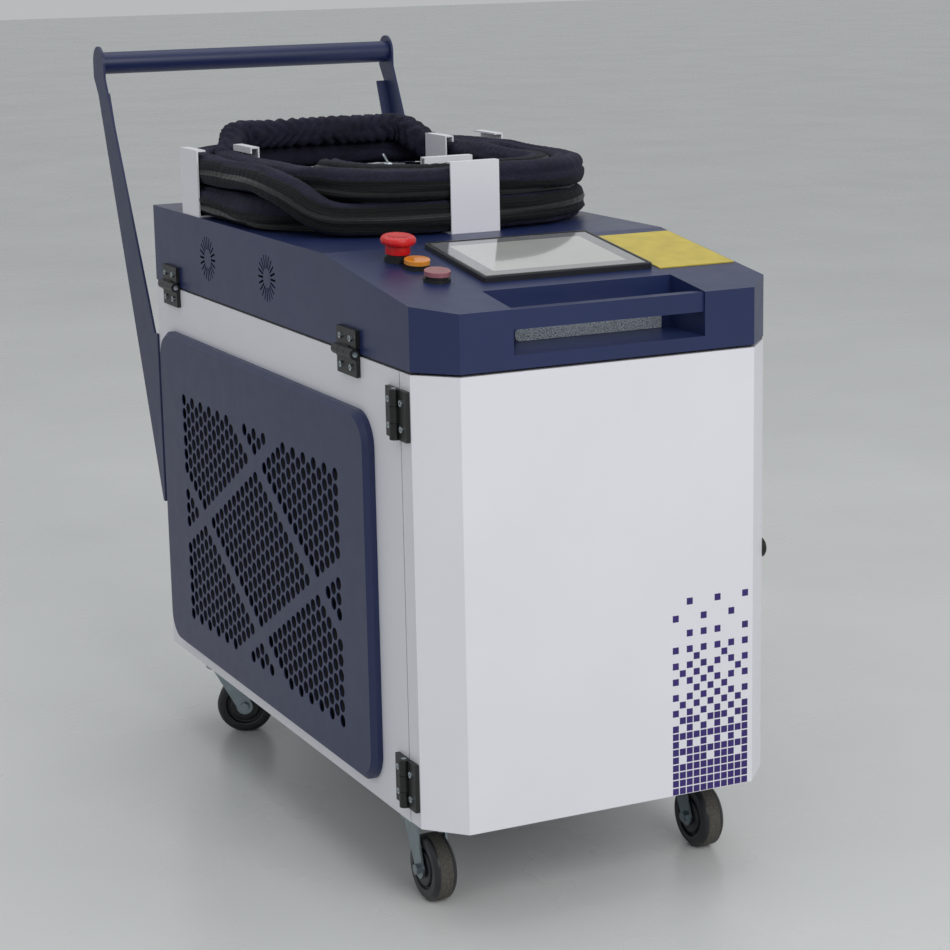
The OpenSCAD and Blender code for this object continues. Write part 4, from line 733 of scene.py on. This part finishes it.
# Fading squares at the foot of the front door, an ordered dither of a plain ramp
SQUARE = 7.6
SQUARE_PITCH_X, SQUARE_PITCH_Z = 8.9, 9.1
SQUARE_X, SQUARE_Z = 78, -496.6
SQUARE_COLUMNS, SQUARE_ROWS = 11, 25
DITHER_COLUMN, DITHER_ROW, DITHER_BITS = 6, 4, 3      # where the dither's own grid begins, and its size
PRINT_T = 0.15


def box_faces(vertices, faces, low, high):
    """Adds a box between two corners, given in metres."""
    start = len(vertices)
    for x in (low.x, high.x):
        for y in (low.y, high.y):
            for z in (low.z, high.z):
                vertices.append(Vector((x, y, z)))
    for quad in ((0, 1, 3, 2), (4, 6, 7, 5), (0, 4, 5, 1), (2, 3, 7, 6), (0, 2, 6, 4), (1, 5, 7, 3)):
        faces.append(tuple(start + i for i in quad))


def dither_rank(column, row):
    """Rank, 0 to 1, of a place in an ordered dither of eight by eight."""
    rank = 0
    for bit in range(DITHER_BITS):
        c, r = (column >> bit) & 1, (row >> bit) & 1
        rank = rank * 4 + 2 * (c ^ r) + c
    return rank / 4 ** DITHER_BITS


def make_squares():
    """A full row at the foot of the door, and ever fewer squares above it."""
    vertices, faces = [], []
    for row in range(SQUARE_ROWS):
        for column in range(SQUARE_COLUMNS):
            if dither_rank(column + DITHER_COLUMN, row + DITHER_ROW) >= 1 - row / SQUARE_ROWS:
                continue
            x = SQUARE_X + column * SQUARE_PITCH_X
            z = SQUARE_Z + row * SQUARE_PITCH_Z
            box_faces(vertices, faces, place(x - SQUARE / 2, -PRINT_T, z - SQUARE / 2),
                      place(x + SQUARE / 2, 0, z + SQUARE / 2))
    ink = moulded("square_ink", rgb(48, 27, 106), rough=0.4)
    mesh_object("front_squares", vertices, faces, ink, "door", smooth=False)


make_squares()


# Speckled strip low on the recess's back wall, with rounded left corners
STRIP_X0, STRIP_X1, STRIP_Z0, STRIP_Z1, STRIP_R, STRIP_T = -77, 103, 15.4, 29, 6, 1.2
STRIP_STEPS = 6          # of each rounded corner
RECESS_BACK = 74


def make_strip():
    outline = [(STRIP_X1, STRIP_Z0), (STRIP_X1, STRIP_Z1)]
    for centre_z, start in ((STRIP_Z1 - STRIP_R, 90), (STRIP_Z0 + STRIP_R, 180)):
        for i in range(STRIP_STEPS + 1):
            a = math.radians(start + i * 90 / STRIP_STEPS)
            outline.append((STRIP_X0 + STRIP_R + STRIP_R * math.cos(a), centre_z + STRIP_R * math.sin(a)))
    count = len(outline)
    vertices = [place(x, RECESS_BACK - t, z) for t in (STRIP_T, 0) for x, z in outline]
    faces = [tuple(range(count)), tuple(range(2 * count - 1, count - 1, -1))]
    faces += [(i, i + count, (i + 1) % count + count, (i + 1) % count) for i in range(count)]
    mesh_object("recess_strip", vertices, faces, SPECKLED, "lid", smooth=False)


make_strip()


# Floor, light and backdrop
FLOOR_HALF = 30
SKY, SKY_STRENGTH = (0.80, 0.82, 0.83, 1), 0.6


def make_stage():
    data = bpy.data.meshes.new("floor")
    z = min(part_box(n)[0].z for n in nodes if n.startswith("caster_wheel"))
    corners = [(x * FLOOR_HALF, y * FLOOR_HALF, z) for x, y in ((-1, -1), (1, -1), (1, 1), (-1, 1))]
    data.from_pydata(corners, [], [(0, 1, 2, 3)])
    floor = bpy.data.objects.new("floor", data)
    bpy.context.scene.collection.objects.link(floor)
    s = Shader("pale_floor")
    s.colour(s.ramp(s.noise(1.5, 3), 0.3, 0.7, rgb(206, 208, 207), rgb(216, 218, 217)))
    s.roughness(s.between(s.noise(4, 3), 0.22, 0.34))
    data.materials.append(s.material)
    world = bpy.data.worlds.new("studio")
    world.use_nodes = True
    world.node_tree.nodes["Background"].inputs["Color"].default_value = SKY
    world.node_tree.nodes["Background"].inputs["Strength"].default_value = SKY_STRENGTH
    bpy.context.scene.world = world
    bpy.context.scene.view_settings.view_transform = "Standard"


def area_light(name, spot, target, size, power, colour=(1, 1, 1)):
    data = bpy.data.lights.new(name, "AREA")
    data.size = size
    data.energy = power
    data.color = colour
    lamp = bpy.data.objects.new(name, data)
    lamp.location = spot
    lamp.rotation_euler = (Vector(target) - Vector(spot)).to_track_quat("-Z", "Y").to_euler()
    bpy.context.scene.collection.objects.link(lamp)


make_stage()
area_light("key", (0.2, -3.9, 2.6), (0, -0.2, 0.4), 2.2, 70, (1, 0.99, 0.98))
area_light("fill", (-3.4, -1.2, 2.2), (0, 0, 0.5), 2.6, 6, (0.95, 0.97, 1))
area_light("top", (0, 0.6, 3.6), (0, 0, 0.6), 3.0, 30)
